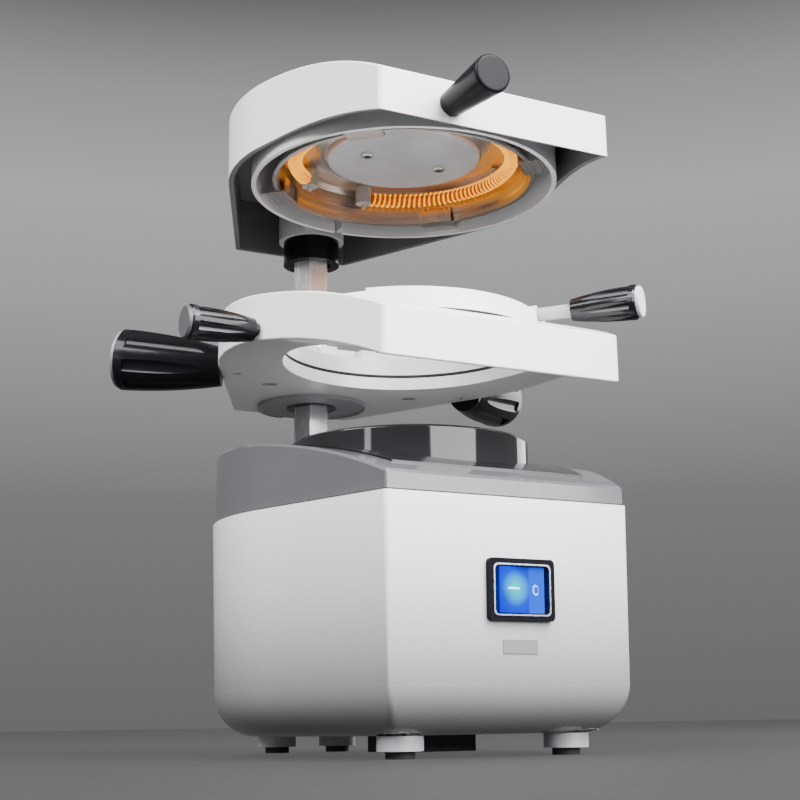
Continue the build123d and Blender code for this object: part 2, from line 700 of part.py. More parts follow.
def feet():
    """Grey foot blocks, black pads and their screws."""
    blocks, pads, screws = [], [], []
    for x, y in FOOT_PLACES:
        block = cyl(FOOT_R, FOOT_PAD_H, BASE_BOTTOM_Z, x, y)
        block -= cyl(SCREW_R + FIT, 0, BASE_BOTTOM_Z + 1, x, y)
        block -= cyl(SCREW_HEAD_R + RUN, 0, FOOT_PAD_H + SCREW_HEAD_T, x, y)
        blocks.append(block)
        pads.append(cyl(FOOT_PAD_R, 0, FOOT_PAD_H, x, y))
        screws.append(cyl(SCREW_HEAD_R, FOOT_PAD_H + RUN, FOOT_PAD_H + SCREW_HEAD_T, x, y)
                      + cyl(SCREW_R, FOOT_PAD_H + 1, BASE_FLOOR_Z + 2, x, y))
    return blocks, pads, screws


def cover_screws():
    """Screws up through the pillar webs into the cover's pillars."""
    head_top = PILLAR_SPLIT_Z - PILLAR_WEB
    screws = []
    for x, y in PILLAR_PLACES:
        screws.append(cyl(SCREW_HEAD_R, head_top - SCREW_HEAD_T, head_top, x, y)
                      + cyl(SCREW_R - THREAD_FIT, head_top - 1, PILLAR_SPLIT_Z + COVER_SCREW_REACH, x, y))
    return screws


# ---------------------------------------------------------------- post
def post():
    """Hexagonal bar with a turned spigot for the head."""
    bar = hex_bar(POST_FLATS, POST_BOTTOM_Z, POST_HEX_TOP_Z, POST_Y)
    bar += cyl(SPIGOT_R, POST_HEX_TOP_Z - 1, SPIGOT_TOP_Z, 0, POST_Y)
    bar -= cyl(TOP_SCREW_R, SPIGOT_TOP_Z - TOP_SCREW_LEN - 1, SPIGOT_TOP_Z + 1, 0, POST_Y)
    return bar - cyl(POST_BOLT_R, POST_BOTTOM_Z - 1, POST_BOTTOM_Z + POST_BOLT_REACH + 2, 0, POST_Y)


def post_bracket():
    """Cast socket that holds the post's foot, on a shelf plate."""
    plate = box(-BRACKET_HALF_X, BRACKET_HALF_X, POST_Y - BRACKET_HALF_Y, POST_Y + BRACKET_HALF_Y,
                BRACKET_PLATE_Z, BRACKET_PLATE_Z + BRACKET_PLATE_T)
    socket = cyl(BRACKET_R, BRACKET_PLATE_Z, COVER_BASE_Z, 0, POST_Y)
    body = plate + socket - hex_bar(POST_FLATS + 2 * FIT, POST_BOTTOM_Z, COVER_BASE_Z + 1, POST_Y)
    body -= cyl(POST_BOLT_R + FIT, BRACKET_PLATE_Z - 1, POST_BOTTOM_Z + 1, 0, POST_Y)
    for x, y in BRACKET_SCREW_PLACES:
        body -= cyl(SCREW_R + FIT, BRACKET_PLATE_Z - 1, BRACKET_PLATE_Z + 10, x, y)
    return body


def post_fasteners():
    """Bolt into the post's foot and the bracket's four screws."""
    bolt = cyl(POST_BOLT_HEAD_R, BRACKET_PLATE_Z - POST_BOLT_HEAD_T, BRACKET_PLATE_Z, 0, POST_Y)
    bolt += cyl(POST_BOLT_R - THREAD_FIT, BRACKET_PLATE_Z - 1, POST_BOTTOM_Z + POST_BOLT_REACH, 0, POST_Y)
    screws = []
    top = BRACKET_PLATE_Z + BRACKET_PLATE_T
    for x, y in BRACKET_SCREW_PLACES:
        screws.append(cyl(SCREW_HEAD_R, top, top + SCREW_HEAD_T, x, y)
                      + cyl(SCREW_R - THREAD_FIT, BRACKET_PLATE_Z - BRACKET_SCREW_LEN + 1, top + 1, x, y))
    return [bolt] + screws


def spigot_washer():
    """Washer and screw that keep the head on the spigot."""
    washer_top = SPIGOT_TOP_Z + WASHER_T
    washer = tube(WASHER_R, TOP_SCREW_R + FIT, SPIGOT_TOP_Z, washer_top, 0, POST_Y)
    screw = cyl(TOP_SCREW_HEAD_R, washer_top, washer_top + TOP_SCREW_HEAD_T, 0, POST_Y)
    screw += cyl(TOP_SCREW_R - THREAD_FIT, SPIGOT_TOP_Z - TOP_SCREW_LEN, washer_top + 1, 0, POST_Y)
    return washer, screw


# ---------------------------------------------------------------- switch, label and inlet
def switch_plate(width, height, y0, y1):
    """Rounded rectangular plate on the front face."""
    sheet = RectangleRounded(width, height, 2.0)
    plane = Plane(origin=(SWITCH_X, y1, SWITCH_Z), x_dir=(1, 0, 0), z_dir=(0, -1, 0))
    return extrude(plane * sheet, amount=y1 - y0)


def switch_bezel():
    """Black bezel with its snap-in housing behind the panel."""
    bezel = switch_plate(SWITCH_W, SWITCH_H, FRONT_Y - BEZEL_T, FRONT_Y)
    bezel += switch_plate(BEZEL_INNER_W, BEZEL_INNER_H, FRONT_Y - BEZEL_T, FRONT_Y + SWITCH_DEPTH)
    bezel -= switch_plate(BEZEL_INNER_W - 2 * BEZEL_SKIN, BEZEL_INNER_H - 2 * BEZEL_SKIN,
                          FRONT_Y - 10, FRONT_Y + SWITCH_DEPTH + 1)
    return bezel - cyl(AXLE_R + SHAFT_FIT, SWITCH_Z - SWITCH_H, SWITCH_Z + SWITCH_H, SWITCH_X, ROCKER_AXIS_Y)


def switch_frame():
    """Silver frame round the rocker."""
    outer_w = BEZEL_INNER_W - 2 * BEZEL_SKIN
    outer_h = BEZEL_INNER_H - 2 * BEZEL_SKIN
    frame = switch_plate(outer_w - 2 * FIT, outer_h - 2 * FIT,
                         FRONT_Y - BEZEL_T - RUN, FRONT_Y + SWITCH_FRAME_D)
    return frame - switch_plate(outer_w - 2 * SWITCH_FRAME_T, outer_h - 2 * SWITCH_FRAME_T,
                                FRONT_Y - 10, FRONT_Y + 5)


def rocker_size():
    """Width and height of the rocker in its frame."""
    taken = 2 * (BEZEL_SKIN + SWITCH_FRAME_T + RUN)
    return BEZEL_INNER_W - taken, BEZEL_INNER_H - taken - 2 * RUN


def switch_rocker():
    """Rocker with two shallow slopes, on a round axle across its back."""
    width, height = rocker_size()
    half = width / 2 - 1.4
    crest_y = FRONT_Y - BEZEL_T + 0.6
    dip_y = crest_y + half * sin(radians(ROCKER_THROW))
    profile = make_face(Wire([
        Line((-half, crest_y - 1.4), (0, crest_y + 0.6)),
        Line((0, crest_y + 0.6), (half, dip_y - 0.8)),
        Line((half, dip_y - 0.8), (half - 3.0, ROCKER_AXIS_Y)),
        Line((half - 3.0, ROCKER_AXIS_Y), (-half + 3.0, ROCKER_AXIS_Y)),
        Line((-half + 3.0, ROCKER_AXIS_Y), (-half, crest_y - 1.4)),
    ]))
    body = Pos(SWITCH_X, 0, SWITCH_Z - height / 2) * extrude(profile, amount=height)
    axle_half = BEZEL_INNER_H / 2 - RUN
    return body + cyl(AXLE_R, SWITCH_Z - axle_half, SWITCH_Z + axle_half, SWITCH_X, ROCKER_AXIS_Y)


def switch_cradle():
    """Insulating cradle behind the rocker with its two contact blades."""
    taken = 2 * (BEZEL_SKIN + FIT)
    back_y = FRONT_Y + SWITCH_DEPTH
    cradle = switch_plate(BEZEL_INNER_W - taken, BEZEL_INNER_H - taken, ROCKER_AXIS_Y + 2 * AXLE_R, back_y)
    for side in (-1, 1):
        x = SWITCH_X + side * BLADE_X
        cradle += box(x - BLADE_T / 2, x + BLADE_T / 2, back_y - 3, back_y + BLADE_REACH,
                      SWITCH_Z - BLADE_H / 2, SWITCH_Z + BLADE_H / 2)
    return cradle


def label_plate():
    """Bare plate under the switch."""
    return box(SWITCH_X - LABEL_W / 2, SWITCH_X + LABEL_W / 2, FRONT_Y - LABEL_T, FRONT_Y,
               LABEL_Z - LABEL_H / 2, LABEL_Z + LABEL_H / 2)


def mains_inlet():
    """Three-pin inlet with a fuse pocket below, let into the rear face."""
    half_w, half_h = INLET_W / 2, INLET_H / 2
    shell = box(-half_w, half_w, REAR_Y - INLET_DEPTH, REAR_Y + 1, INLET_Z - half_h, INLET_Z + half_h)
    shell += box(-half_w - INLET_FLANGE, half_w + INLET_FLANGE, REAR_Y, INLET_REAR_Y,
                 INLET_Z - half_h - INLET_FLANGE, INLET_Z + half_h + INLET_FLANGE)
    shell -= box(-half_w + SOCKET_WALL, half_w - SOCKET_WALL, INLET_BACK_Y, INLET_REAR_Y + 1,
                 SOCKET_Z0, INLET_Z + half_h - 1)
    shell -= box(-half_w + SOCKET_WALL, half_w - SOCKET_WALL, INLET_BACK_Y, INLET_REAR_Y + 1,
                 FUSE_ROOM_TOP_Z - FUSE_H, FUSE_ROOM_TOP_Z)
    for k in (-1, 0, 1):
        shell -= box(k * PIN_STEP - PIN_W / 2, k * PIN_STEP + PIN_W / 2, REAR_Y - INLET_DEPTH - 1, REAR_Y,
                     PIN_Z0, PIN_Z0 + PIN_H)
    return shell


def inlet_pins():
    """Three flat pins held in the inlet's back wall."""
    y0 = REAR_Y - INLET_DEPTH - 5
    return [box(k * PIN_STEP - PIN_W / 2, k * PIN_STEP + PIN_W / 2, y0, INLET_BACK_Y + PIN_LEN,
                PIN_Z0, PIN_Z0 + PIN_H) for k in (-1, 0, 1)]


def fuse_drawer():
    """Drawer with a trough for one fuse, pulled out to the rear."""
    z0 = FUSE_ROOM_TOP_Z - FUSE_H + RUN
    z1 = FUSE_ROOM_TOP_Z - RUN
    half = INLET_W / 2 - SOCKET_WALL - RUN
    drawer = box(-half, half, INLET_BACK_Y + RUN, DRAWER_REAR_Y, z0, z1)
    trough = box(-half + 1.5, half - 1.5, INLET_BACK_Y + 3, REAR_Y - 3, z0 + DRAWER_LIP, z1 + 1)
    return drawer - trough


def fuse():
    """Glass fuse lying in the drawer's trough."""
    floor_z = FUSE_ROOM_TOP_Z - FUSE_H + RUN + DRAWER_LIP
    plane = Plane(origin=(-FUSE_LEN / 2, INLET_BACK_Y + 7, floor_z + FUSE_R), z_dir=(1, 0, 0))
    return extrude(plane * Circle(FUSE_R), amount=FUSE_LEN)


def terminal_block():
    """Terminal strip on the floor between the inlet and the motor."""
    half_d = TERMINAL_BLOCK_D / 2
    half_w = 2.5 * TERMINAL_STEP
    block = box(-half_w, half_w, TERMINAL_BLOCK_Y - half_d, TERMINAL_BLOCK_Y + half_d,
                BASE_FLOOR_Z, BASE_FLOOR_Z + TERMINAL_BLOCK_H)
    for k in range(-2, 3):
        block -= cyl(TERMINAL_SCREW_R + FIT, BASE_FLOOR_Z + 5, BASE_FLOOR_Z + TERMINAL_BLOCK_H + 1,
                     k * TERMINAL_STEP, TERMINAL_BLOCK_Y)
    return block


def terminal_screws():
    """Brass screws in the terminal strip."""
    return [cyl(TERMINAL_SCREW_R, BASE_FLOOR_Z + 5, BASE_FLOOR_Z + TERMINAL_BLOCK_H - 1,
                k * TERMINAL_STEP, TERMINAL_BLOCK_Y) for k in range(-2, 3)]


# ---------------------------------------------------------------- sheet holder
def holder_block(inset=0.0, skin_low=0.0, skin_high=0.0):
    """The holder's envelope between its two brow faces."""
    block = prism(HOLDER_SIDE_R, HOLDER_FLAT_Z - 40, HOLDER_TOP_Z + 5, inset)
    block = (block & below_brow(HOLDER_TOP_Z - skin_high)) - below_brow(HOLDER_FLAT_Z + skin_low)
    if inset:
        return block
    block = fillet(rim_edges(block, 1), EDGE_R)
    return fillet(rim_edges(block, -1), EDGE_R)


def big_handle_plane(side):
    """Plane on the holder's wall with Z along the big handle."""
    x = side * wall_x(BIG_HANDLE_Y, HOLDER_SIDE_R)
    turn = radians(BIG_HANDLE_TURN)
    rise = tan(radians(BIG_HANDLE_RISE))
    return along((x, BIG_HANDLE_Y, BIG_HANDLE_Z), (side * cos(turn), sin(turn), rise))


def lock_root_x():
    """Distance from the opening's axis to the lock knob's root, clear of the curved wall."""
    return wall_x(LOCK_Y + SMALL_GRIP[0], HOLDER_SIDE_R) + RUN


def lug_room(gap, swing, z1):
    """The clamp ring's lug, or the pocket it drops into, at the lock knob's tip."""
    half = LUG_W / 2 + swing
    return box(-SEAT_R, LUG_T + gap - CLAMP_R, LOCK_Y - half, LOCK_Y + half, LOCK_Z - LUG_BELOW - gap, z1)


def lock_plane():
    """Plane just outside the holder's left wall with Z along the lock knob."""
    return along((-lock_root_x(), LOCK_Y, LOCK_Z), (-1, 0, 0))


def hinge_bar(radius, length, x=0.0):
    """Round bar on the clamp's hinge axis."""
    return along((x, HINGE_Y, HINGE_Z), (1, 0, 0)) * Cylinder(radius, length)


def holder_frame():
    """White tray with a ring wall round the opening, a post boss and stud bosses."""
    body = holder_block() - holder_block(HOLDER_WALL, HOLDER_WALL, -5)
    solid = holder_block()
    body += cyl(SEAT_R + RING_WALL, 0, FAR) & solid
    body += cyl(BUSH_BOSS_R, 0, FAR, 0, POST_Y) & solid
    body += box(-HINGE_BLOCK_HALF, HINGE_BLOCK_HALF, HINGE_BLOCK_Y0, HINGE_BLOCK_Y1, 0, FAR) & solid
    pillar_zone = holder_block(0, 0, LID_T)
    for side in (-1, 1):
        body += cyl(HOLDER_PILLAR_R, 0, FAR, side * LID_SCREW_X, LID_SCREW_Y) & pillar_zone
        body += cyl(HOLDER_PILLAR_R, 0, FAR, side * LID_REST_X, LID_REST_Y) & pillar_zone
    boss = Pos(0, 0, -BIG_STUD_SUNK) * Cylinder(STUD_BOSS_R, 2 * BIG_STUD_SUNK)
    for plane in (big_handle_plane(-1), big_handle_plane(1), lock_plane()):
        body += (plane * boss) & holder_block(1)
    body -= cyl(OPENING_R, 0, FAR)
    body -= cyl(SEAT_R, SEAT_Z, FAR)
    body -= cyl(BUSH_R + FIT, 0, FAR, 0, POST_Y)
    for side in (-1, 1):
        x0 = EAR_GAP / 2 - RUN
        x1 = EAR_GAP / 2 + EAR_T + RUN
        body -= box(min(side * x0, side * x1), max(side * x0, side * x1), 50, HINGE_Y + EAR_R + RUN,
                    SEAT_Z, FAR)
        body -= big_handle_plane(side) * Cylinder(STUD_R + FIT, 2 * (BIG_STUD_SUNK + RUN))
        body -= cyl(SCREW_R + FIT, 0, HOLDER_TOP_Z - LID_T + 0.01, side * LID_SCREW_X, LID_SCREW_Y)
        body -= cyl(SCREW_HEAD_R + RUN, 0, HOLDER_FLAT_Z + SCREW_HEAD_T, side * LID_SCREW_X, LID_SCREW_Y)
    body -= lock_plane() * Cylinder(STUD_R + SHAFT_FIT, 2 * (lock_root_x() - CLAMP_R))
    body -= lug_room(RUN, LUG_SWING, SEAT_Z + 1)
    return body - hinge_bar(HINGE_PIN_R + THREAD_FIT, 2 * HINGE_BLOCK_HALF + 2)


def holder_lid():
    """White lid let in flush between the walls."""
    lid = holder_block(HOLDER_WALL + FIT) - below_brow(HOLDER_TOP_Z - LID_T)
    lid -= cyl(SEAT_R + RING_WALL + FIT, 0, FAR)
    lid -= cyl(BUSH_BOSS_R + FIT, 0, FAR, 0, POST_Y)
    edge = HINGE_BLOCK_HALF + FIT
    lid -= box(-edge, edge, HINGE_BLOCK_Y0, HINGE_BLOCK_Y1 + FIT, 0, FAR)
    for side in (-1, 1):
        lid -= cyl(SCREW_R, 0, HOLDER_TOP_Z - 1, side * LID_SCREW_X, LID_SCREW_Y)
    return lid


def lid_screws():
    """Two screws up through the rear pillars into the lid."""
    screws = []
    for side in (-1, 1):
        place = (side * LID_SCREW_X, LID_SCREW_Y)
        screws.append(cyl(SCREW_HEAD_R, HOLDER_FLAT_Z + RUN, HOLDER_FLAT_Z + SCREW_HEAD_T, *place)
                      + cyl(SCREW_R - THREAD_FIT, HOLDER_FLAT_Z + 1, HOLDER_TOP_Z - 1.2, *place))
    return screws


def underside_flange():
    """Round flange with a raised rim under the post boss."""
    flange = cyl(FLANGE_R, HOLDER_FLAT_Z - FLANGE_T, HOLDER_FLAT_Z, 0, POST_Y)
    flange += tube(FLANGE_R, FLANGE_R - FLANGE_RIM_W, HOLDER_FLAT_Z - FLANGE_RIM_T, HOLDER_FLAT_Z,
                   0, POST_Y)
    flange -= cyl(BUSH_R + FIT, 0, FAR, 0, POST_Y)
    return flange & prism(HOLDER_SIDE_R, 0, FAR, 1.0)


def holder_bush():
    """Black bush with a hexagonal bore that slides on the post."""
    bush = cyl(BUSH_R, HOLDER_FLAT_Z - BUSH_STAND, HOLDER_TOP_Z, 0, POST_Y)
    bush += cyl(BUSH_R + 2, HOLDER_TOP_Z, HOLDER_TOP_Z + BUSH_STAND, 0, POST_Y)
    return bush - hex_bar(POST_FLATS + 2 * FIT, 0, FAR, POST_Y)


def lower_gasket():
    """Black rubber ring on the seat."""
    ring = tube(CLAMP_R, OPENING_R, SEAT_Z, SEAT_Z + GASKET_T - SHAFT_FIT)
    return ring - lug_room(RUN, LUG_SWING, FAR)


def hinge_pin():
    """Steel pin of the clamp hinge."""
    return hinge_bar(HINGE_PIN_R, 2 * HINGE_BLOCK_HALF - 1)


def big_handles():
    """Studs, grips and caps of the two side handles, trimmed to the wall."""
    studs, grips, caps = [], [], []
    wall = prism(HOLDER_SIDE_R, HOLDER_FLAT_Z - 40, HOLDER_TOP_Z + 40)
    for side in (-1, 1):
        plane = big_handle_plane(side)
        grip = (plane * fluted_grip(*BIG_GRIP, BIG_GRIP_BACKSET)) - wall
        grips.append(grip)
        studs.append(plane * stud(BIG_STUD_SUNK))
        caps.append(plane * end_cap(BIG_GRIP))
    return studs, grips, caps


def lock_knob():
    """Stud, grip and cap of the small left knob that presses on the clamp ring."""
    plane = lock_plane()
    screw = plane * stud(lock_root_x() - CLAMP_R - RUN)
    return screw, plane * fluted_grip(*SMALL_GRIP), plane * end_cap(SMALL_GRIP)


# ---------------------------------------------------------------- clamp ring
def lever_plane(radius):
    """Plane at a radius from the opening's axis with Z outwards along the lever."""
    turn = radians(LEVER_DEG)
    direction = (cos(turn), sin(turn), 0)
    return along((radius * direction[0], radius * direction[1], LEVER_Z), direction)


def clamp_ring():
    """White ring with a raised lip to the front and right, and two hinge ears."""
    low_top = CLAMP_Z + CLAMP_LOW_T
    ring = tube(CLAMP_R, OPENING_R, CLAMP_Z, low_top)
    lip = sector(CLAMP_LIP_R, low_top - 1, CLAMP_TOP_Z, LIP_START_DEG, LIP_END_DEG)
    ring += lip - cyl(OPENING_R, 0, FAR)
    ring += lug_room(0, 0, CLAMP_Z + 1) & cyl(CLAMP_R, 0, FAR)
    ring += lever_plane(OPENING_R + LEVER_BOSS_LEN / 2 + 0.6) * Cylinder(LEVER_BOSS_R, LEVER_BOSS_LEN)
    for side in (-1, 1):
        x = side * (EAR_GAP / 2 + EAR_T / 2)
        ring += hinge_bar(EAR_R, EAR_T, x)
        arm = box(x - EAR_T / 2, x + EAR_T / 2, OPENING_R + 2, HINGE_Y, HINGE_Z - EAR_R, HINGE_Z + EAR_R)
        ring += arm
    ring -= cyl(OPENING_R, 0, FAR)
    ring -= hinge_bar(HINGE_PIN_R + SHAFT_FIT, 2 * HINGE_BLOCK_HALF)
    return ring - lever_plane(OPENING_R + 8) * Cylinder(LEVER_ROD_R + SHAFT_FIT, 16)


def upper_gasket():
    """Black rubber ring under the clamp ring."""
    return tube(CLAMP_R, OPENING_R, CLAMP_Z - GASKET_T + SHAFT_FIT, CLAMP_Z) - lug_room(FIT, FIT, FAR)


def clamp_lever():
    """Rod, grip and cap of the clamp lever."""
    inner = OPENING_R + 0.8
    rod_len = LEVER_ROD_LEN + CLAMP_LIP_R - inner
    rod = lever_plane(inner) * (Pos(0, 0, rod_len / 2) * Cylinder(LEVER_ROD_R, rod_len))
    start = lever_plane(inner + rod_len)
    rod += start * (Pos(0, 0, STUD_REACH / 2) * Cylinder(STUD_R, STUD_REACH))
    return rod, start * fluted_grip(*SMALL_GRIP), start * end_cap(SMALL_GRIP)


# ---------------------------------------------------------------- heater head
def under_roof(skin=0.0):
    """Everything under the head's roof, less a skin."""
    return below_brow(HEAD_FLAT_Z - skin, HEAD_TOP_LEVEL_Y, HEAD_TOP_R)


def head_shell():
    """White hood, open below, its rim lower at the front."""
    hood = prism(HEAD_SIDE_R, HEAD_RIM_Z - 20, HEAD_FLAT_Z + 5) & under_roof()
    hood = fillet(rim_edges(hood, 1), EDGE_R)
    hood -= below_brow(HEAD_RIM_Z, HEAD_RIM_LEVEL_Y, HEAD_RIM_R)
    hood -= prism(HEAD_SIDE_R, HEAD_RIM_Z - 30, HEAD_FLAT_Z + 5, HEAD_WALL) & under_roof(HEAD_WALL)
    return hood - head_handle_plane() * Cylinder(HEAD_STUD_R + FIT, 4 * HEAD_WALL)


def head_boss():
    """Grey boss under the roof with two webs to the skirt ring."""
    roof = under_roof(HEAD_WALL)
    boss = cyl(BOSS_R, HEAD_RIM_Z, FAR, 0, POST_Y)
    for side in (-1, 1):
        x = side * WEB_X
        boss += box(x - WEB_T / 2, x + WEB_T / 2, SKIRT_R - 1.5, POST_Y - 8, HEAD_RIM_Z + 3, FAR)
    boss -= cyl(SKIRT_R + FIT, 0, FAR)
    return (boss & roof) - cyl(COLLAR_R, 0, FAR, 0, POST_Y)


def collar():
    """Black bush in the boss; it clears the hexagon and turns on the spigot."""
    bush = cyl(COLLAR_R - THREAD_FIT, COLLAR_BOTTOM_Z, SPIGOT_TOP_Z - RUN, 0, POST_Y)
    bush -= cyl(HEX_CORNER_R + RUN, 0, POST_HEX_TOP_Z + RUN, 0, POST_Y)
    return bush - cyl(SPIGOT_R + SHAFT_FIT, 0, FAR, 0, POST_Y)


def skirt_ring():
    """Grey ring that hangs from the roof round the heater, notched at the rear."""
    ring = tube(SKIRT_R, SKIRT_R - SKIRT_T, SKIRT_BOTTOM_Z, FAR) & under_roof(HEAD_WALL)
    return ring - box(-SKIRT_NOTCH_W / 2, SKIRT_NOTCH_W / 2, SKIRT_R - 10, SKIRT_R + 5,
                      SKIRT_BOTTOM_Z - 1, SKIRT_BOTTOM_Z + SKIRT_NOTCH_H)


def reflector():
    """Spun steel bowl: rim, sloped wall, flat trough and a lower centre."""
    low = [
        (REFLECTOR_R, REFLECTOR_RIM_Z), (REFLECTOR_R - 2, REFLECTOR_RIM_Z),
        (REFLECTOR_R - 4.5, REFLECTOR_TOP_Z - 2.5), (REFLECTOR_R - 6.5, REFLECTOR_TOP_Z),
        (DISC_R + 8, REFLECTOR_TOP_Z), (DISC_R + 1, DISC_Z + DISC_T), (0, DISC_Z + DISC_T),
    ]
    high = [(r, z + REFLECTOR_T) for r, z in reversed(low)]
    section = make_face(Plane.XZ * Polyline(*low, *high, close=True))
    bowl = revolve(section, Axis.Z)
    for side in (-1, 1):
        bowl -= cyl(DISC_SCREW_R + FIT, 0, FAR, side * DISC_SCREW_X, 0)
    for x, y in terminal_places():
        bowl -= cyl(TERMINAL_STUD_R + RUN, 0, FAR, x, y)
    return bowl


def terminal_places():
    """Centres of the two terminals, just inside the coil's gap."""
    clear = degrees((TERMINAL_R + 0.4) / COIL_R)
    turns = (COIL_GAP_FROM + clear, COIL_GAP_TO - clear)
    return [(COIL_R * cos(radians(a)), COIL_R * sin(radians(a))) for a in turns]


def reflector_tabs():
    """Four folded clips under the reflector's rim, each with a leaf that stands in the bowl."""
    clip = box(TAB_R, TAB_R + TAB_T, -TAB_W / 2, TAB_W / 2, REFLECTOR_RIM_Z - TAB_T, REFLECTOR_RIM_Z + TAB_H)
    clip += box(TAB_R, SKIRT_R - SKIRT_T - FIT, -TAB_W / 2, TAB_W / 2,
                REFLECTOR_RIM_Z - TAB_T, REFLECTOR_RIM_Z)
    clip &= cyl(SKIRT_R - SKIRT_T - FIT, 0, FAR)
    return [Rot(0, 0, turn) * clip for turn in (45, 135, 225, 315)]


def centre_disc():
    """Steel disc with a rounded rim over the middle of the bowl."""
    disc = cyl(DISC_R, DISC_Z, DISC_Z + DISC_T)
    disc = fillet(disc.edges().sort_by(Axis.Z)[0], DISC_EDGE_R)
    for side in (-1, 1):
        disc -= cyl(DISC_SCREW_R + FIT, 0, FAR, side * DISC_SCREW_X, 0)
    return disc


def disc_screws():
    """Cross-head screws through the disc and the bowl."""
    head = cyl(DISC_SCREW_HEAD_R, DISC_Z - DISC_SCREW_HEAD_T, DISC_Z)
    head = fillet(head.edges().sort_by(Axis.Z)[0], DISC_EDGE_R)
    slot = box(-2.2, 2.2, -0.4, 0.4, DISC_Z - 3, DISC_Z - 0.7)
    for turn in (20, 110):
        head -= Rot(0, 0, turn) * slot
    screw = head + cyl(DISC_SCREW_R, DISC_Z - 0.5, DISC_Z + DISC_T + 4)
    return [Pos(side * DISC_SCREW_X, 0, 0) * screw for side in (-1, 1)]


def heating_coil():
    """Open ring of the heating coil's outer shape."""
    section = Plane.XZ * (Pos(COIL_R, COIL_Z) * Circle(COIL_SECTION_R))
    sweep = 360 - (COIL_GAP_TO - COIL_GAP_FROM)
    return Rot(0, 0, COIL_GAP_TO) * revolve(section, Axis.Z, revolution_arc=sweep)


def coil_supports():
    """Ceramic beads between the coil and the bowl."""
    z0 = COIL_Z + COIL_SECTION_R
    bead = cyl(BEAD_R, z0 + SHAFT_FIT, REFLECTOR_TOP_Z, COIL_R, 0)
    return [Rot(0, 0, turn) * bead for turn in (0, 180, 240, 300)]


def terminals():
    """Ceramic terminals and the steel studs through them."""
    ceramics, studs = [], []
    for x, y in terminal_places():
        ceramics.append(tube(TERMINAL_R, TERMINAL_STUD_R + FIT, COIL_Z - 3, REFLECTOR_TOP_Z, x, y))
        studs.append(cyl(TERMINAL_STUD_R, COIL_Z - TERMINAL_STUD_REACH,
                         REFLECTOR_TOP_Z + TERMINAL_STUD_REACH, x, y))
    return ceramics, studs


def standoffs():
    """Pillars that hang the bowl from the roof."""
    pillars = []
    for turn in (15, 155, 270):
        x, y = STANDOFF_RING_R * cos(radians(turn)), STANDOFF_RING_R * sin(radians(turn))
        pillars.append(cyl(STANDOFF_R, REFLECTOR_TOP_Z + REFLECTOR_T, FAR, x, y) & under_roof(HEAD_WALL))
    return pillars


def head_handle_plane():
    """Plane on the head's front face with Z along the handle."""
    return along((HEAD_HANDLE_X, FRONT_Y, HEAD_HANDLE_Z), (0, -1, 0))


def head_handle():
    """Black handle with a rounded end, and its threaded stud and nut."""
    root_r, end_r, length = HEAD_GRIP
    grip = Pos(0, 0, length / 2) * Cone(root_r, end_r, length)
    grip = fillet(grip.edges().sort_by(Axis.Z)[-1], HEAD_GRIP_EDGE_R)
    grip -= Cylinder(HEAD_STUD_R + SHAFT_FIT, 2 * (HEAD_STUD_REACH + 1))
    bolt = Pos(0, 0, (HEAD_STUD_REACH - 5) / 2) * Cylinder(HEAD_STUD_R, HEAD_STUD_REACH + 5)
    bolt += Pos(0, 0, -HEAD_WALL - HEAD_NUT_T / 2) * Cylinder(HEAD_NUT_R, HEAD_NUT_T)
    return head_handle_plane() * grip, head_handle_plane() * bolt


# ---------------------------------------------------------------- write the nodes
os.makedirs("parts", exist_ok=True)

foot_blocks, foot_pads, foot_screws = feet()
top_washer, top_screw = spigot_washer()
handle_studs, handle_grips, handle_caps = big_handles()
lock_stud, lock_grip, lock_cap = lock_knob()
lever_rod, lever_grip, lever_cap = clamp_lever()
ceramic_terminals, terminal_studs = terminals()
front_handle, front_handle_bolt = head_handle()

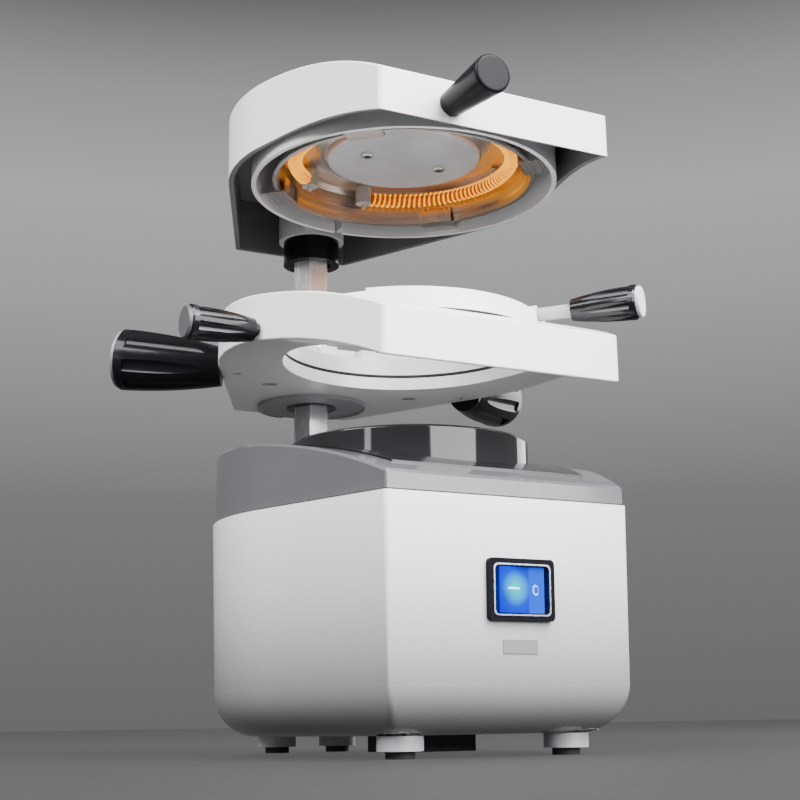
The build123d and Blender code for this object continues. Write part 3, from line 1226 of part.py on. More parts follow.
NODES = {
    # base
    "base_shell": [base_shell()],
    "seam_gasket": [seam_gasket()],
    "top_cover": [top_cover()],
    "top_panel": [top_panel()],
    "platen_cup": [platen_cup()],
    "perforated_plate": [perforated_plate()],
    "platen_seal": [platen_seal()],
    "air_duct": [air_duct()],
    "motor_can": [motor_can()],
    "motor_plate": [motor_plate()],
    "motor_stator": [motor_stator()],
    "fan_rotor": [fan_rotor()],
    "exhaust_block": [exhaust_block()],
    "feet": foot_blocks,
    "foot_pads": foot_pads,
    "foot_screws": foot_screws,
    "cover_screws": cover_screws(),
    "post": [post()],
    "post_bracket": [post_bracket()],
    "post_fasteners": post_fasteners(),
    "top_washer": [top_washer],
    "top_screw": [top_screw],
    # switch and mains
    "switch_bezel": drafted(switch_bezel()),
    "switch_frame": drafted(switch_frame()),
    "switch_rocker": drafted(switch_rocker()),
    "switch_cradle": drafted(switch_cradle()),
    "label_plate": drafted(label_plate()),
    "mains_inlet": [mains_inlet()],
    "inlet_pins": inlet_pins(),
    "fuse_drawer": [fuse_drawer()],
    "fuse": [fuse()],
    "terminal_block": [terminal_block()],
    "terminal_screws": terminal_screws(),
    # sheet holder
    "holder_frame": [holder_frame()],
    "holder_lid": [holder_lid()],
    "lid_screws": lid_screws(),
    "underside_flange": [underside_flange()],
    "holder_bush": [holder_bush()],
    "lower_gasket": [lower_gasket()],
    "hinge_pin": [hinge_pin()],
    "handle_studs": handle_studs,
    "handle_grips": handle_grips,
    "handle_caps": handle_caps,
    "lock_knob": [lock_stud, lock_grip, lock_cap],
    # clamp ring
    "clamp_ring": [clamp_ring()],
    "upper_gasket": [upper_gasket()],
    "clamp_lever": [lever_rod, lever_grip, lever_cap],
    # heater head
    "head_shell": [head_shell()],
    "head_boss": [head_boss()],
    "collar": [collar()],
    "skirt_ring": [skirt_ring()],
    "reflector": [reflector()] + reflector_tabs(),
    "centre_disc": [centre_disc()],
    "disc_screws": disc_screws(),
    "heating_coil": [heating_coil()],
    "ceramics": ceramic_terminals + coil_supports(),
    "terminal_studs": terminal_studs,
    "standoffs": standoffs(),
    "head_handle": [front_handle],
    "head_handle_bolt": [front_handle_bolt],
}

for node_name, node_solids in NODES.items():
    save(node_name, *node_solids)
print(len(NODES), "nodes")
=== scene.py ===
import math

import bmesh
import bpy
from mathutils import Matrix, Vector


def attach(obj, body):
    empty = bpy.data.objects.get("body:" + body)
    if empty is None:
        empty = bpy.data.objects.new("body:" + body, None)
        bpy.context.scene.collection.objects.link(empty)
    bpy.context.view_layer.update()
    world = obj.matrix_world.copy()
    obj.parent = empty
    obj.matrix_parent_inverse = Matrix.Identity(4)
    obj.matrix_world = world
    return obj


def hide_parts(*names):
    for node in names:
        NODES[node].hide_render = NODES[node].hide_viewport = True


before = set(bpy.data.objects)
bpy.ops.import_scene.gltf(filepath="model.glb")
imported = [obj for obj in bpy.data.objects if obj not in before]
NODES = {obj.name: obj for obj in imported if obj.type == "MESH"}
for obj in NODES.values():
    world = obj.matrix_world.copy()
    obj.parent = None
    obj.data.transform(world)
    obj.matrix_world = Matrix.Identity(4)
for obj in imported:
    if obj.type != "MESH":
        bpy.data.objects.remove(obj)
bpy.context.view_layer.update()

PLATEN_Y = -0.0091        # the platen's axis in the row frame


def at(x, y, z):
    """Millimetres from the platen's axis to metres in the row frame."""
    return Vector((x / 1000, y / 1000 + PLATEN_Y, z / 1000))


# ---------------------------------------------------------------- camera
YAW, PITCH, ROLL = math.radians(-28.62), math.radians(12.73), math.radians(-0.85)
FOCAL_PX, IMAGE_PX, SENSOR_MM = 1427.61, 800.0, 36.0
DISTANCE, TARGET_ASIDE, TARGET_Z = 674.41, -3.43, 162.78        # mm, aside along the picture's width
FORWARD = Vector((-math.sin(YAW) * math.cos(PITCH), math.cos(YAW) * math.cos(PITCH), math.sin(PITCH)))
SIDE = Vector((math.cos(YAW), math.sin(YAW), 0.0))
LIFT = SIDE.cross(FORWARD)
RIGHT = math.cos(ROLL) * SIDE + math.sin(ROLL) * LIFT
UP = -math.sin(ROLL) * SIDE + math.cos(ROLL) * LIFT
TARGET = TARGET_ASIDE * SIDE + Vector((0.0, 0.0, TARGET_Z))
EYE = TARGET - FORWARD * DISTANCE
camera = bpy.data.objects.new("camera", bpy.data.cameras.new("camera"))
bpy.context.scene.collection.objects.link(camera)
turn = Matrix((RIGHT, UP, -FORWARD)).transposed().to_4x4()
camera.matrix_world = Matrix.Translation(at(*EYE)) @ turn
camera.data.sensor_width = SENSOR_MM
camera.data.lens = FOCAL_PX / IMAGE_PX * SENSOR_MM
camera.data.clip_start = 0.01
camera.data.clip_end = 50.0
bpy.context.scene.camera = camera


# ---------------------------------------------------------------- shader helpers
NOISE_LOW, NOISE_HIGH = 0.3, 0.7                # where most of a noise's values lie
MIX_A, MIX_B, MIX_OUT = 6, 7, 2                 # colour sockets of the Mix node
FLOAT_A, FLOAT_B, FLOAT_OUT = 2, 3, 0           # number sockets of the Mix node
SKIN_RELIEF, METAL_RELIEF = 0.00004, 0.00003    # metres
FACING_LIMIT = 0.5                              # cosine past which a face counts as turned to a direction
INWARD_LIMIT = -0.005                           # metres, radius times cosine


def new_material(name):
    mat = bpy.data.materials.new(name)
    mat.use_nodes = True
    tree = mat.node_tree
    return mat, tree, tree.nodes["Principled BSDF"]


def node(tree, kind, **values):
    """Adds a node; keys that name a property set it, others set an input socket's value."""
    made = tree.nodes.new(kind)
    for key, value in values.items():
        if hasattr(made, key):
            setattr(made, key, value)
        else:
            made.inputs[key.replace("_", " ")].default_value = value
    return made


def coords(tree, scale=(1, 1, 1)):
    """Object coordinates in metres, scaled."""
    source = node(tree, "ShaderNodeTexCoord")
    mapping = node(tree, "ShaderNodeMapping")
    mapping.inputs["Scale"].default_value = scale
    tree.links.new(source.outputs["Object"], mapping.inputs["Vector"])
    return mapping.outputs["Vector"]


def vector_math(tree, way, first, second):
    """Vector operation on a socket and on a socket or a fixed vector."""
    made = node(tree, "ShaderNodeVectorMath", operation=way)
    tree.links.new(first, made.inputs[0])
    if isinstance(second, bpy.types.NodeSocket):
        tree.links.new(second, made.inputs[1])
    else:
        made.inputs[1].default_value = second
    return made


def noise(tree, vector, scale, detail, rough=0.5):
    made = node(tree, "ShaderNodeTexNoise", Scale=scale, Detail=detail, Roughness=rough)
    tree.links.new(vector, made.inputs["Vector"])
    return made.outputs["Fac"]


def remap(tree, value, low, high, from_low=NOISE_LOW, from_high=NOISE_HIGH):
    made = node(tree, "ShaderNodeMapRange", From_Min=from_low, From_Max=from_high, To_Min=low, To_Max=high)
    tree.links.new(value, made.inputs["Value"])
    return made.outputs["Result"]


def ramp(tree, share, steps, interpolation="LINEAR"):
    """Colour by a value, through (value, colour) steps."""
    made = node(tree, "ShaderNodeValToRGB")
    made.color_ramp.interpolation = interpolation
    stops = made.color_ramp.elements
    for k, (place, colour) in enumerate(steps):
        stop = stops[0] if k == 0 else stops[-1] if k == len(steps) - 1 else stops.new(place)
        stop.position = place
        stop.color = (*colour, 1)
    tree.links.new(share, made.inputs["Fac"])
    return made.outputs["Color"]


def blend(tree, share, first, second, way="MIX"):
    """Mixes two colours; the share and the second colour may be a socket or a fixed value."""
    mix = node(tree, "ShaderNodeMix", data_type="RGBA", blend_type=way)
    tree.links.new(first, mix.inputs[MIX_A])
    for socket, value in ((mix.inputs["Factor"], share), (mix.inputs[MIX_B], second)):
        if isinstance(value, bpy.types.NodeSocket):
            tree.links.new(value, socket)
        else:
            socket.default_value = value
    return mix.outputs[MIX_OUT]


def tint(tree, value, dark, light):
    """Colour between two tones by a noise."""
    return ramp(tree, value, ((NOISE_LOW, dark), (NOISE_HIGH, light)))


def add_bump(tree, shader, height, strength, distance):
    bump = node(tree, "ShaderNodeBump", Strength=strength, Distance=distance)
    tree.links.new(height, bump.inputs["Height"])
    tree.links.new(bump.outputs["Normal"], shader.inputs["Normal"])


def from_axis(tree):
    """Vector from the platen's axis in metres, flat on the table."""
    source = node(tree, "ShaderNodeTexCoord")
    shift = vector_math(tree, "SUBTRACT", source.outputs["Object"], (0.0, PLATEN_Y, 0.0))
    return vector_math(tree, "MULTIPLY", shift.outputs[0], (1.0, 1.0, 0.0)).outputs[0]


def compare(tree, value, limit, way="GREATER_THAN"):
    step = node(tree, "ShaderNodeMath", operation=way)
    step.inputs[1].default_value = limit
    tree.links.new(value, step.inputs[0])
    return step.outputs[0]


def inward_shade_mask(tree):
    """Mask for painted shade: 1 on faces turned towards the platen's axis or downwards, 0 on the outer ones.
    """
    normal = node(tree, "ShaderNodeTexCoord").outputs["Normal"]
    radial = vector_math(tree, "DOT_PRODUCT", from_axis(tree), normal)
    down = vector_math(tree, "DOT_PRODUCT", normal, (0.0, 0.0, -1.0))
    either = node(tree, "ShaderNodeMath", operation="MAXIMUM")
    tree.links.new(compare(tree, radial.outputs["Value"], INWARD_LIMIT, "LESS_THAN"), either.inputs[0])
    tree.links.new(compare(tree, down.outputs["Value"], FACING_LIMIT), either.inputs[1])
    return either.outputs[0]


def painted_shade_by_height(tree, colour, steps, mask=1.0):
    """Painted shade: colour multiplied by a tone that changes with the height, through (metres, tone) steps.
    """
    axes = node(tree, "ShaderNodeSeparateXYZ")
    tree.links.new(coords(tree), axes.inputs[0])
    first, last = steps[0][0], steps[-1][0]
    share = remap(tree, axes.outputs["Z"], 0.0, 1.0, first, last)
    tones = [((place - first) / (last - first), (tone, tone, tone)) for place, tone in steps]
    return blend(tree, mask, colour, ramp(tree, share, tones), "MULTIPLY")


def shade(colour, factor):
    return tuple(min(1.0, c * factor) for c in colour)


# ---------------------------------------------------------------- kinds of material
DRIFT_SCALE, SMEAR_SCALE = 22.0, 130.0      # slow tone drift and uneven gloss, per metre
COAT_ROUGH, LEAST_ROUGH = 0.08, 0.02
EVEN = (300, 300, 300)                      # scale of metal without a grain
METAL_VARY = 0.12
LINE_NOISE, LINE_STRENGTH = 2600.0, 0.2     # turned lines, per metre of radius
HEAT_FROM, HEAT_TO = 0.03, 0.07             # metres of radius
HEAT_BLACK = (0.0, 0.0, 0.0)
HEAT_LOW, HEAT_FULL, HEAT_EDGE = (0.1, 0.1, 0.1), (0.8, 0.8, 0.8), (0.2, 0.2, 0.2)
HEAT_STEPS = ((0.0, HEAT_BLACK), (0.35, HEAT_LOW), (0.55, HEAT_FULL), (0.7, HEAT_FULL),
              (0.82, HEAT_EDGE), (1.0, HEAT_BLACK))


def moulded(name, colour, rough, grain=1400.0, strength=0.12, coat=0.0, spread=0.05, vary=0.04, height_shade=None,
            inside_shade=None, shine=0.5):
    """Moulded or painted surface: fine orange peel, slow tone drift and slightly uneven gloss.

    The optional height steps paint shade into the colour, as (metres, tone) steps by height: the first on
    all faces, the second only on the faces turned to the platen's axis and downwards.
    """
    mat, tree, shader = new_material(name)
    place = coords(tree)
    slow = noise(tree, place, DRIFT_SCALE, detail=2.0)
    fine = noise(tree, place, grain, detail=4.0)
    smear = noise(tree, place, SMEAR_SCALE, detail=5.0, rough=0.65)
    colour_out = tint(tree, slow, shade(colour, 1 - vary), shade(colour, 1 + vary))
    # painted shade, darker towards the bottom
    if height_shade:
        colour_out = painted_shade_by_height(tree, colour_out, height_shade)
    # painted shade on the faces turned inwards and downwards
    if inside_shade:
        colour_out = painted_shade_by_height(tree, colour_out, inside_shade, inward_shade_mask(tree))
    shader.inputs["Specular IOR Level"].default_value = shine
    tree.links.new(colour_out, shader.inputs["Base Color"])
    gloss = remap(tree, smear, max(rough - spread, LEAST_ROUGH), rough + spread)
    tree.links.new(gloss, shader.inputs["Roughness"])
    shader.inputs["Coat Weight"].default_value = coat
    shader.inputs["Coat Roughness"].default_value = COAT_ROUGH
    add_bump(tree, shader, fine, strength, SKIN_RELIEF)
    return mat


def brushed(name, colour, rough, scale=EVEN, metallic=1.0, strength=0.15):
    """Metal with fine lines along the axis that has the smallest scale, or without them if it is even."""
    mat, tree, shader = new_material(name)
    lines = noise(tree, coords(tree, scale), scale=1.0, detail=3.0, rough=0.6)
    slow = noise(tree, coords(tree), scale=60.0, detail=3.0)
    colour_out = tint(tree, slow, shade(colour, 1 - METAL_VARY), shade(colour, 1 + METAL_VARY))
    tree.links.new(colour_out, shader.inputs["Base Color"])
    tree.links.new(remap(tree, lines, low=rough * 0.7, high=rough * 1.35), shader.inputs["Roughness"])
    shader.inputs["Metallic"].default_value = metallic
    add_bump(tree, shader, lines, strength, METAL_RELIEF)
    return mat


def spun(name, colour, rough, heat=None, metallic=1.0):
    """Metal turned about the platen's axis, with fine concentric lines; `heat` tints it by radius."""
    mat, tree, shader = new_material(name)
    length = node(tree, "ShaderNodeVectorMath", operation="LENGTH")
    tree.links.new(from_axis(tree), length.inputs[0])
    radius = length.outputs["Value"]
    line = node(tree, "ShaderNodeTexNoise", noise_dimensions="1D", Scale=LINE_NOISE, Detail=3.0)
    tree.links.new(radius, line.inputs["W"])
    cloud = noise(tree, coords(tree), scale=45.0, detail=4.0)
    tone = tint(tree, cloud, shade(colour, 0.86), shade(colour, 1.1))
    if heat:
        share = remap(tree, radius, 0.0, 1.0, HEAT_FROM, HEAT_TO)
        tone = blend(tree, ramp(tree, share, HEAT_STEPS, "EASE"), tone, (*heat, 1))
    tree.links.new(tone, shader.inputs["Base Color"])
    gloss = remap(tree, line.outputs["Fac"], low=rough * 0.75, high=rough * 1.3)
    tree.links.new(gloss, shader.inputs["Roughness"])
    shader.inputs["Metallic"].default_value = metallic
    add_bump(tree, shader, line.outputs["Fac"], LINE_STRENGTH, METAL_RELIEF)
    return mat


def glowing(name, colour, strength, dark):
    """Hot or lit surface whose brightness drifts a little."""
    mat, tree, shader = new_material(name)
    cloud = noise(tree, coords(tree), scale=900.0, detail=2.0)
    tone = tint(tree, cloud, shade(colour, dark), colour)
    tree.links.new(tone, shader.inputs["Base Color"])
    tree.links.new(tone, shader.inputs["Emission Color"])
    shader.inputs["Emission Strength"].default_value = strength
    shader.inputs["Roughness"].default_value = 0.6
    shader.inputs["Specular IOR Level"].default_value = 0.15
    return mat


def zoned(name, start, direction, zones):
    """Finishes along an axis: (colour, roughness, mm from the start point where the zone begins)."""
    mat, tree, shader = new_material(name)
    source = node(tree, "ShaderNodeTexCoord")
    shift = vector_math(tree, "SUBTRACT", source.outputs["Object"], start)
    along = vector_math(tree, "DOT_PRODUCT", shift.outputs[0], direction)
    slow = noise(tree, coords(tree), scale=40.0, detail=3.0)
    colour = rough = None
    for tone, gloss, begins in zones:
        tone_out = tint(tree, slow, shade(tone, 0.93), shade(tone, 1.07))
        if colour is None:
            colour, rough = tone_out, remap(tree, slow, gloss, gloss * 1.3)
            continue
        past = compare(tree, along.outputs["Value"], begins / 1000)
        colour = blend(tree, past, colour, tone_out)
        level = node(tree, "ShaderNodeMix", data_type="FLOAT")
        tree.links.new(past, level.inputs["Factor"])
        tree.links.new(rough, level.inputs[FLOAT_A])
        level.inputs[FLOAT_B].default_value = gloss
        rough = level.outputs[FLOAT_OUT]
    tree.links.new(colour, shader.inputs["Base Color"])
    tree.links.new(rough, shader.inputs["Roughness"])
    shader.inputs["Specular IOR Level"].default_value = 0.35
    fine = noise(tree, coords(tree), scale=1600.0, detail=3.0)
    add_bump(tree, shader, fine, strength=0.06, distance=SKIN_RELIEF)
    return mat


SPOT_X, SPOT_Z = 0.2, 66.5      # mm, centre of the light behind the rocker
SPOT_RADIUS = 0.012             # metres
SPOT_STEPS = ((0.0, (0.0, 0.33, 0.34)), (0.3, (0.0, 0.2, 0.36)), (0.62, (0.0, 0.02, 0.36)),
              (1.0, (0.0, 0.004, 0.3)))
STRIP_FROM_X = 0.0069           # metres, left edge of the paler strip
STRIP_BLUE = (0.0, 0.045, 0.4, 1)


def lit_rocker():
    """Blue rocker lit from behind: a cyan spot on its left part and a paler strip on the right."""
    mat, tree, shader = new_material("rocker_blue")
    source = node(tree, "ShaderNodeTexCoord")
    shift = vector_math(tree, "SUBTRACT", source.outputs["Object"], at(SPOT_X, 0, SPOT_Z))
    flat = vector_math(tree, "MULTIPLY", shift.outputs[0], (1.0, 0.0, 1.0))
    length = node(tree, "ShaderNodeVectorMath", operation="LENGTH")
    tree.links.new(flat.outputs[0], length.inputs[0])
    spot = ramp(tree, remap(tree, length.outputs["Value"], 0.0, 1.0, 0.0, SPOT_RADIUS), SPOT_STEPS)
    axes = node(tree, "ShaderNodeSeparateXYZ")
    tree.links.new(source.outputs["Object"], axes.inputs[0])
    colour = blend(tree, compare(tree, axes.outputs["X"], STRIP_FROM_X), spot, STRIP_BLUE)
    tree.links.new(colour, shader.inputs["Base Color"])
    tree.links.new(colour, shader.inputs["Emission Color"])
    shader.inputs["Emission Strength"].default_value = 0.62
    shader.inputs["Roughness"].default_value = 0.45
    shader.inputs["Specular IOR Level"].default_value = 0.03
    return mat


# ---------------------------------------------------------------- materials
LEVER_TURN = math.radians(-52.0)
LEVER_WAY = (math.cos(LEVER_TURN), math.sin(LEVER_TURN), 0.0)
LEVER_Z, LOCK_Y, LOCK_Z = 196, -10, 184.6                   # mm, axes of the lever and of the lock knob
LOCK_CAP_FROM = 113.66                                      # mm from the platen's axis
LEVER_ROD_FROM, LEVER_GRIP_FROM, LEVER_CAP_FROM = 64.4, 82.58, 113.15
BLACK_GLOSS = ((0.008, 0.008, 0.009), 0.14)
CAP_GREY = ((0.62, 0.62, 0.63), 0.35)
DIM_CAP = ((0.09, 0.09, 0.093), 0.4)
ROD_GREY = ((0.42, 0.42, 0.43), 0.4)
# painted shade: the white base grows darker towards the floor, as (metres, tone) steps
BASE_PAINTED_SHADE = [(0.01, 0.15), (0.03, 0.25), (0.07, 0.7), (0.105, 1.0)]
# painted shade: the head shell's inner and downward faces grow darker deeper in, as (metres, tone) steps
HEAD_PAINTED_SHADE = [(0.262, 0.4), (0.268, 0.24), (0.276, 0.16), (0.288, 0.12)]

LOCK = zoned("lock_finish", at(0, LOCK_Y, LOCK_Z), (-1.0, 0.0, 0.0),
             [(*BLACK_GLOSS, 0), (*DIM_CAP, LOCK_CAP_FROM)])
LEVER = zoned("lever_finish", at(0, 0, LEVER_Z), LEVER_WAY,
              [(*BLACK_GLOSS, 0), (*ROD_GREY, LEVER_ROD_FROM), (*BLACK_GLOSS, LEVER_GRIP_FROM),
               (*CAP_GREY, LEVER_CAP_FROM)])
WHITE = moulded("white_gloss", (0.87, 0.87, 0.875), 0.28, coat=0.35, vary=0.012, strength=0.05,
                height_shade=BASE_PAINTED_SHADE)
WHITE_PAINT = moulded("white_paint", (0.94, 0.94, 0.945), 0.32, coat=0.25, vary=0.015, strength=0.06)
HEAD_PAINT = moulded("head_paint", (0.91, 0.91, 0.915), 0.32, coat=0.25, vary=0.015, strength=0.06,
                     inside_shade=HEAD_PAINTED_SHADE)
COVER = moulded("cover_silver", (0.105, 0.105, 0.109), 0.14, coat=0.26, vary=0.05, strength=0.03)
PANEL = moulded("panel_black", (0.012, 0.012, 0.013), 0.2, strength=0.08)
BEZEL = moulded("bezel_black", (0.006, 0.006, 0.009), 0.36, strength=0.06, shine=0.04)
PLATEN = moulded("platen_black", (0.024, 0.024, 0.025), 0.06, coat=0.1, strength=0.02, spread=0.02,
                 shine=0.42)
GRIP = moulded("grip_black", (0.007, 0.007, 0.008), 0.16, strength=0.05, spread=0.03, shine=0.2)
SATIN = moulded("satin_black", (0.009, 0.009, 0.010), 0.34, strength=0.2, grain=2200.0, shine=0.1)
MATTE = moulded("matte_black", (0.018, 0.018, 0.019), 0.6, strength=0.35, grain=2600.0)
RUBBER = moulded("rubber_black", (0.014, 0.014, 0.014), 0.72, strength=0.4, grain=2000.0)
GREY = moulded("grey_mould", (0.36, 0.36, 0.37), 0.42, strength=0.22, grain=2000.0)
LABEL = moulded("label_grey", (0.2, 0.2, 0.204), 0.5, strength=0.1, shine=0.25)
GREY_LIGHT = moulded("grey_light", (0.56, 0.56, 0.57), 0.4, strength=0.18, grain=2000.0)
RING_GREY = moulded("ring_grey", (0.84, 0.84, 0.845), 0.4, strength=0.12, grain=2000.0)
CAP = moulded("cap_grey", (0.2, 0.2, 0.205), 0.33, strength=0.1)
CAST = moulded("cast_metal", (0.45, 0.45, 0.46), 0.5, strength=0.6, grain=1500.0)
CERAMIC = moulded("ceramic_white", (0.5, 0.48, 0.44), 0.6, strength=0.3)
POST = brushed("post_steel", (0.68, 0.68, 0.69), 0.22, scale=(2600, 2600, 30), metallic=0.62)
STEEL = brushed("steel_plain", (0.55, 0.55, 0.56), 0.3)
BRIGHT = brushed("bright_steel", (0.75, 0.75, 0.76), 0.12, strength=0.05)
FRAME = brushed("frame_silver", (0.38, 0.38, 0.46), 0.25, strength=0.05)
COPPER = brushed("copper_winding", (0.65, 0.3, 0.15), 0.35, scale=(30, 30, 3000))
REFLECTOR = spun("reflector_steel", (0.56, 0.55, 0.54), 0.28, heat=(0.5, 0.36, 0.27))
DISC = spun("disc_steel", (0.72, 0.72, 0.73), 0.42, metallic=0.55)
PLATE = spun("plate_steel", (0.55, 0.55, 0.55), 0.3)
GLASS = moulded("fuse_glass", (0.75, 0.8, 0.8), 0.08)
WIRE_HOT = glowing("wire_hot", (1.0, 0.44, 0.02), 1.6, dark=0.72)
CORE_HOT = glowing("core_hot", (0.6, 0.13, 0.004), 0.3, dark=0.4)
ROCKER = lit_rocker()
MARK = glowing("mark_on", (0.45, 0.95, 1.0), 0.8, dark=0.95)
MARK_DIM = glowing("mark_off", (0.35, 0.5, 1.0), 0.6, dark=0.95)

LOOKS = {
    WHITE: ["base_shell"],
    HEAD_PAINT: ["head_shell"],
    WHITE_PAINT: ["holder_frame", "holder_lid", "clamp_ring"],
    COVER: ["top_cover"],
    PANEL: ["top_panel"],
    BEZEL: ["switch_bezel"],
    PLATEN: ["platen_cup"],
    GRIP: ["handle_grips", "collar", "holder_bush"],
    LOCK: ["lock_knob"],
    LEVER: ["clamp_lever"],
    SATIN: ["head_handle"],
    MATTE: ["exhaust_block", "switch_cradle", "mains_inlet", "fuse_drawer", "terminal_block"],
    RUBBER: ["seam_gasket", "platen_seal", "lower_gasket", "upper_gasket", "foot_pads"],
    GREY: ["feet", "air_duct", "underside_flange"],
    LABEL: ["label_plate"],
    RING_GREY: ["skirt_ring"],
    GREY_LIGHT: ["head_boss"],
    CAP: ["handle_caps"],
    CAST: ["post_bracket", "fan_rotor"],
    CERAMIC: ["ceramics"],
    POST: ["post"],
    STEEL: ["motor_can", "motor_plate", "foot_screws", "cover_screws", "lid_screws", "post_fasteners",
            "top_washer", "top_screw", "hinge_pin", "handle_studs", "head_handle_bolt", "standoffs"],
    BRIGHT: ["disc_screws", "inlet_pins", "terminal_studs"],
    FRAME: ["switch_frame"],
    COPPER: ["motor_stator", "terminal_screws"],
    REFLECTOR: ["reflector"],
    DISC: ["centre_disc"],
    PLATE: ["perforated_plate"],
    GLASS: ["fuse"],
    CORE_HOT: ["heating_coil"],
    ROCKER: ["switch_rocker"],
}
for look, names in LOOKS.items():
    for name in names:
        data = NODES[name].data
        data.materials.clear()
        data.materials.append(look)
for name in NODES:
    assert any(name in names for names in LOOKS.values()), name


# ---------------------------------------------------------------- pieces added to the frame
UPRIGHT = 0.95      # past this a wire's direction counts as vertical


def add_mesh(name, bm, look, body):
    data = bpy.data.meshes.new(name)
    bm.to_mesh(data)
    bm.free()
    data.materials.append(look)
    for face in data.polygons:
        face.use_smooth = True
    made = bpy.data.objects.new(name, data)
    bpy.context.scene.collection.objects.link(made)
    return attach(made, body)


def swept(name, points, radius, look, body, sides=8):
    """Round wire through points, closed at both ends."""
    bm = bmesh.new()
    rings = []
    for k, point in enumerate(points):
        ahead = points[min(k + 1, len(points) - 1)] - points[max(k - 1, 0)]
        ahead.normalize()
        across = ahead.cross(Vector((0, 0, 1)) if abs(ahead.z) < UPRIGHT else Vector((1, 0, 0))).normalized()
        other = ahead.cross(across)
        rings.append([bm.verts.new(point + radius * (math.cos(a) * across + math.sin(a) * other))
                      for a in (2 * math.pi * s / sides for s in range(sides))])
    for low, high in zip(rings, rings[1:]):
        for s in range(sides):
            bm.faces.new((low[s], low[(s + 1) % sides], high[(s + 1) % sides], high[s]))
    bm.faces.new(rings[0])
    bm.faces.new(list(reversed(rings[-1])))
    bmesh.ops.recalc_face_normals(bm, faces=bm.faces)
    return add_mesh(name, bm, look, body)


COIL_R, COIL_Z, COIL_FROM, COIL_SWEEP = 53.0, 282.2, 130.0, 310.0       # mm and degrees
COIL_TURNS, TURN_STEPS, WIND_R = 104, 14, 3.2
WIRE_RADIUS, CORE_RADIUS = 0.00046, 0.0026                              # metres
CORE_STEPS = 120


def coil_point(share, out, up):
    """Point by the share of the coil's arc, with an offset outwards and upwards in mm."""
    a = math.radians(COIL_FROM + COIL_SWEEP * share)
    return at((COIL_R + out) * math.cos(a), (COIL_R + out) * math.sin(a), COIL_Z + up)


def heating_coil():
    """Wound heating wire on its ceramic core."""
    wire = []
    steps = COIL_TURNS * TURN_STEPS
    for k in range(steps + 1):
        phase = 2 * math.pi * k / TURN_STEPS
        wire.append(coil_point(k / steps, WIND_R * math.cos(phase), WIND_R * math.sin(phase)))
    coil = swept("coil_wire", wire, WIRE_RADIUS, WIRE_HOT, "head", sides=6)
    middle = [coil_point(k / CORE_STEPS, 0, 0) for k in range(CORE_STEPS + 1)]
    core = swept("coil_core", middle, CORE_RADIUS, CORE_HOT, "head", sides=12)
    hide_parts("heating_coil")
    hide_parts("heating_coil")


heating_coil()

# marks on the rocker's two slopes, in mm; a slope is y per x
MARK_Z = 66.0
ON_FROM_X, ON_TO_X, ON_Y, ON_SLOPE, ON_MIDDLE_X = -6.0, -0.5, -91.7, 0.16, -2.2
OFF_X, OFF_Y, OFF_SLOPE, OFF_HALF_W, OFF_HALF_H, OFF_STEPS = 10.2, -87.2, 0.12, 1.25, 1.9, 24
ON_RADIUS, OFF_RADIUS = 0.00045, 0.0004                                 # metres


def rocker_marks():
    """Raised on and off marks."""
    dash = [at(x, ON_Y + ON_SLOPE * (x - ON_MIDDLE_X), MARK_Z) for x in (ON_FROM_X, ON_TO_X)]
    swept("mark_on", dash, ON_RADIUS, MARK, "rocker")
    ring = [at(OFF_X + OFF_HALF_W * math.cos(a), OFF_Y + OFF_SLOPE * OFF_HALF_W * math.cos(a),
               MARK_Z + OFF_HALF_H * math.sin(a))
            for a in (2 * math.pi * k / OFF_STEPS for k in range(OFF_STEPS + 1))]
    swept("mark_off", ring, OFF_RADIUS, MARK_DIM, "rocker")


rocker_marks()


# ---------------------------------------------------------------- studio
AIM_Z = 150         # mm, the height that every softbox is turned to


def area_light(name, azimuth, elevation, distance, width, height, power):
    """Softbox towards the machine; azimuth 0 is straight in front and grows to the right."""
    data = bpy.data.lights.new(name, "AREA")
    data.shape = "RECTANGLE"
    data.size = width
    data.size_y = height
    data.energy = power
    lamp = bpy.data.objects.new(name, data)
    bpy.context.scene.collection.objects.link(lamp)
    a, e = math.radians(azimuth), math.radians(elevation)
    towards = Vector((math.sin(a) * math.cos(e), -math.cos(a) * math.cos(e), math.sin(e)))
    lamp.location = at(0, 0, AIM_Z) + towards * distance
    lamp.rotation_mode = "QUATERNION"
    lamp.rotation_quaternion = towards.to_track_quat("Z", "Y")


area_light("key", azimuth=14.0, elevation=24.0, distance=1.7, width=1.4, height=1.4, power=74.0)
area_light("key_top", azimuth=22.0, elevation=52.0, distance=1.6, width=1.0, height=1.0, power=66.0)
area_light("fill", azimuth=-75.0, elevation=42.0, distance=1.6, width=1.3, height=0.9, power=56.0)
area_light("strip", azimuth=-66.0, elevation=14.0, distance=1.6, width=0.16, height=1.2, power=5.0)
area_light("rim", azimuth=108.0, elevation=8.0, distance=1.7, width=0.7, height=0.9, power=11.0)

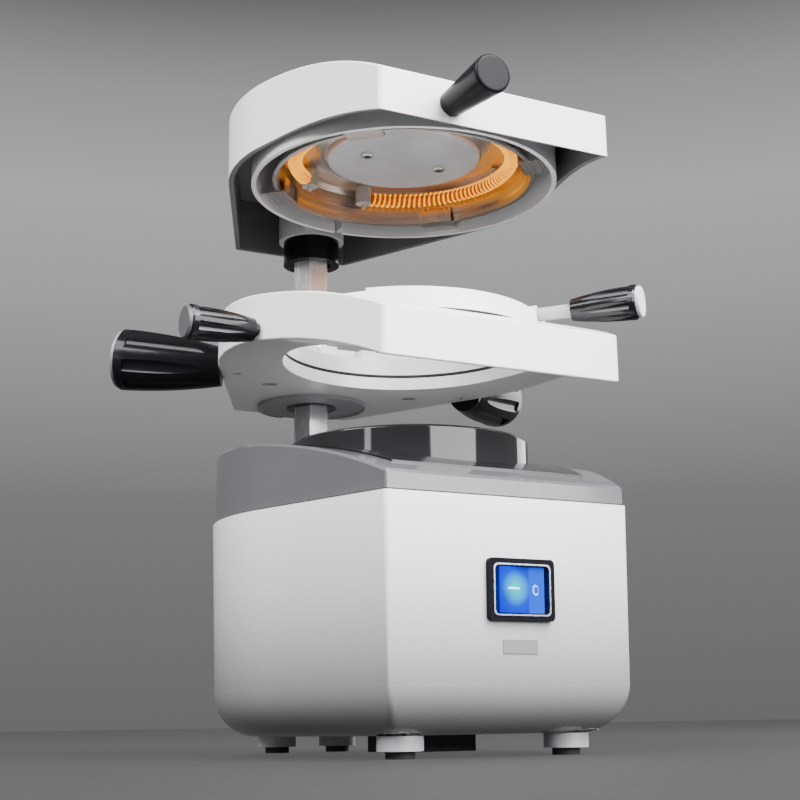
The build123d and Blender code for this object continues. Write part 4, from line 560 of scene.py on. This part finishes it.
# room tones by the sine of the height angle: paler behind the machine, dark above
SKY = ((0.0, (0.15, 0.15, 0.151)),
       *((place, (tone, tone, tone * 1.01)) for place, tone in (
           (0.08, 0.175), (0.15, 0.202), (0.22, 0.302), (0.287, 0.402), (0.353, 0.474), (0.42, 0.34),
           (0.475, 0.152))),
       (1.0, (0.12, 0.12, 0.12)))
# the room is dark in front, so that only the softboxes light the machine's front
ROOM_DARK, ROOM_FULL, DARK_UP_TO, FULL_FROM = 0.22, 1.0, -0.1, 0.55

world = bpy.data.worlds.new("studio")
bpy.context.scene.world = world
world.use_nodes = True
tree = world.node_tree
background = tree.nodes["Background"]
sky_place = node(tree, "ShaderNodeTexCoord").outputs["Generated"]
parts = node(tree, "ShaderNodeSeparateXYZ")
tree.links.new(sky_place, parts.inputs[0])
room = ramp(tree, parts.outputs["Z"], SKY)
behind = vector_math(tree, "DOT_PRODUCT", sky_place, (-math.sin(YAW), math.cos(YAW), 0.0))
dim = remap(tree, behind.outputs["Value"], ROOM_DARK, ROOM_FULL, DARK_UP_TO, FULL_FROM)
tree.links.new(blend(tree, 1.0, room, dim, "MULTIPLY"), background.inputs["Color"])

FLOOR_HALF, FLOOR_GLOW = 6.0, 0.105
corners = [(-FLOOR_HALF, -FLOOR_HALF, 0.0), (FLOOR_HALF, -FLOOR_HALF, 0.0),
           (FLOOR_HALF, FLOOR_HALF, 0.0), (-FLOOR_HALF, FLOOR_HALF, 0.0)]
floor_mesh = bpy.data.meshes.new("floor")
floor_mesh.from_pydata(corners, [], [(0, 1, 2, 3)])
floor = bpy.data.objects.new("floor", floor_mesh)
bpy.context.scene.collection.objects.link(floor)
FLOOR = moulded("floor_grey", (0.009, 0.009, 0.009), 0.7, strength=0.0, vary=0.01, shine=0.05)
floor_shader = FLOOR.node_tree.nodes["Principled BSDF"]
floor_shader.inputs["Emission Color"].default_value = (1.0, 1.0, 1.0, 1.0)
floor_shader.inputs["Emission Strength"].default_value = FLOOR_GLOW
floor_mesh.materials.append(FLOOR)
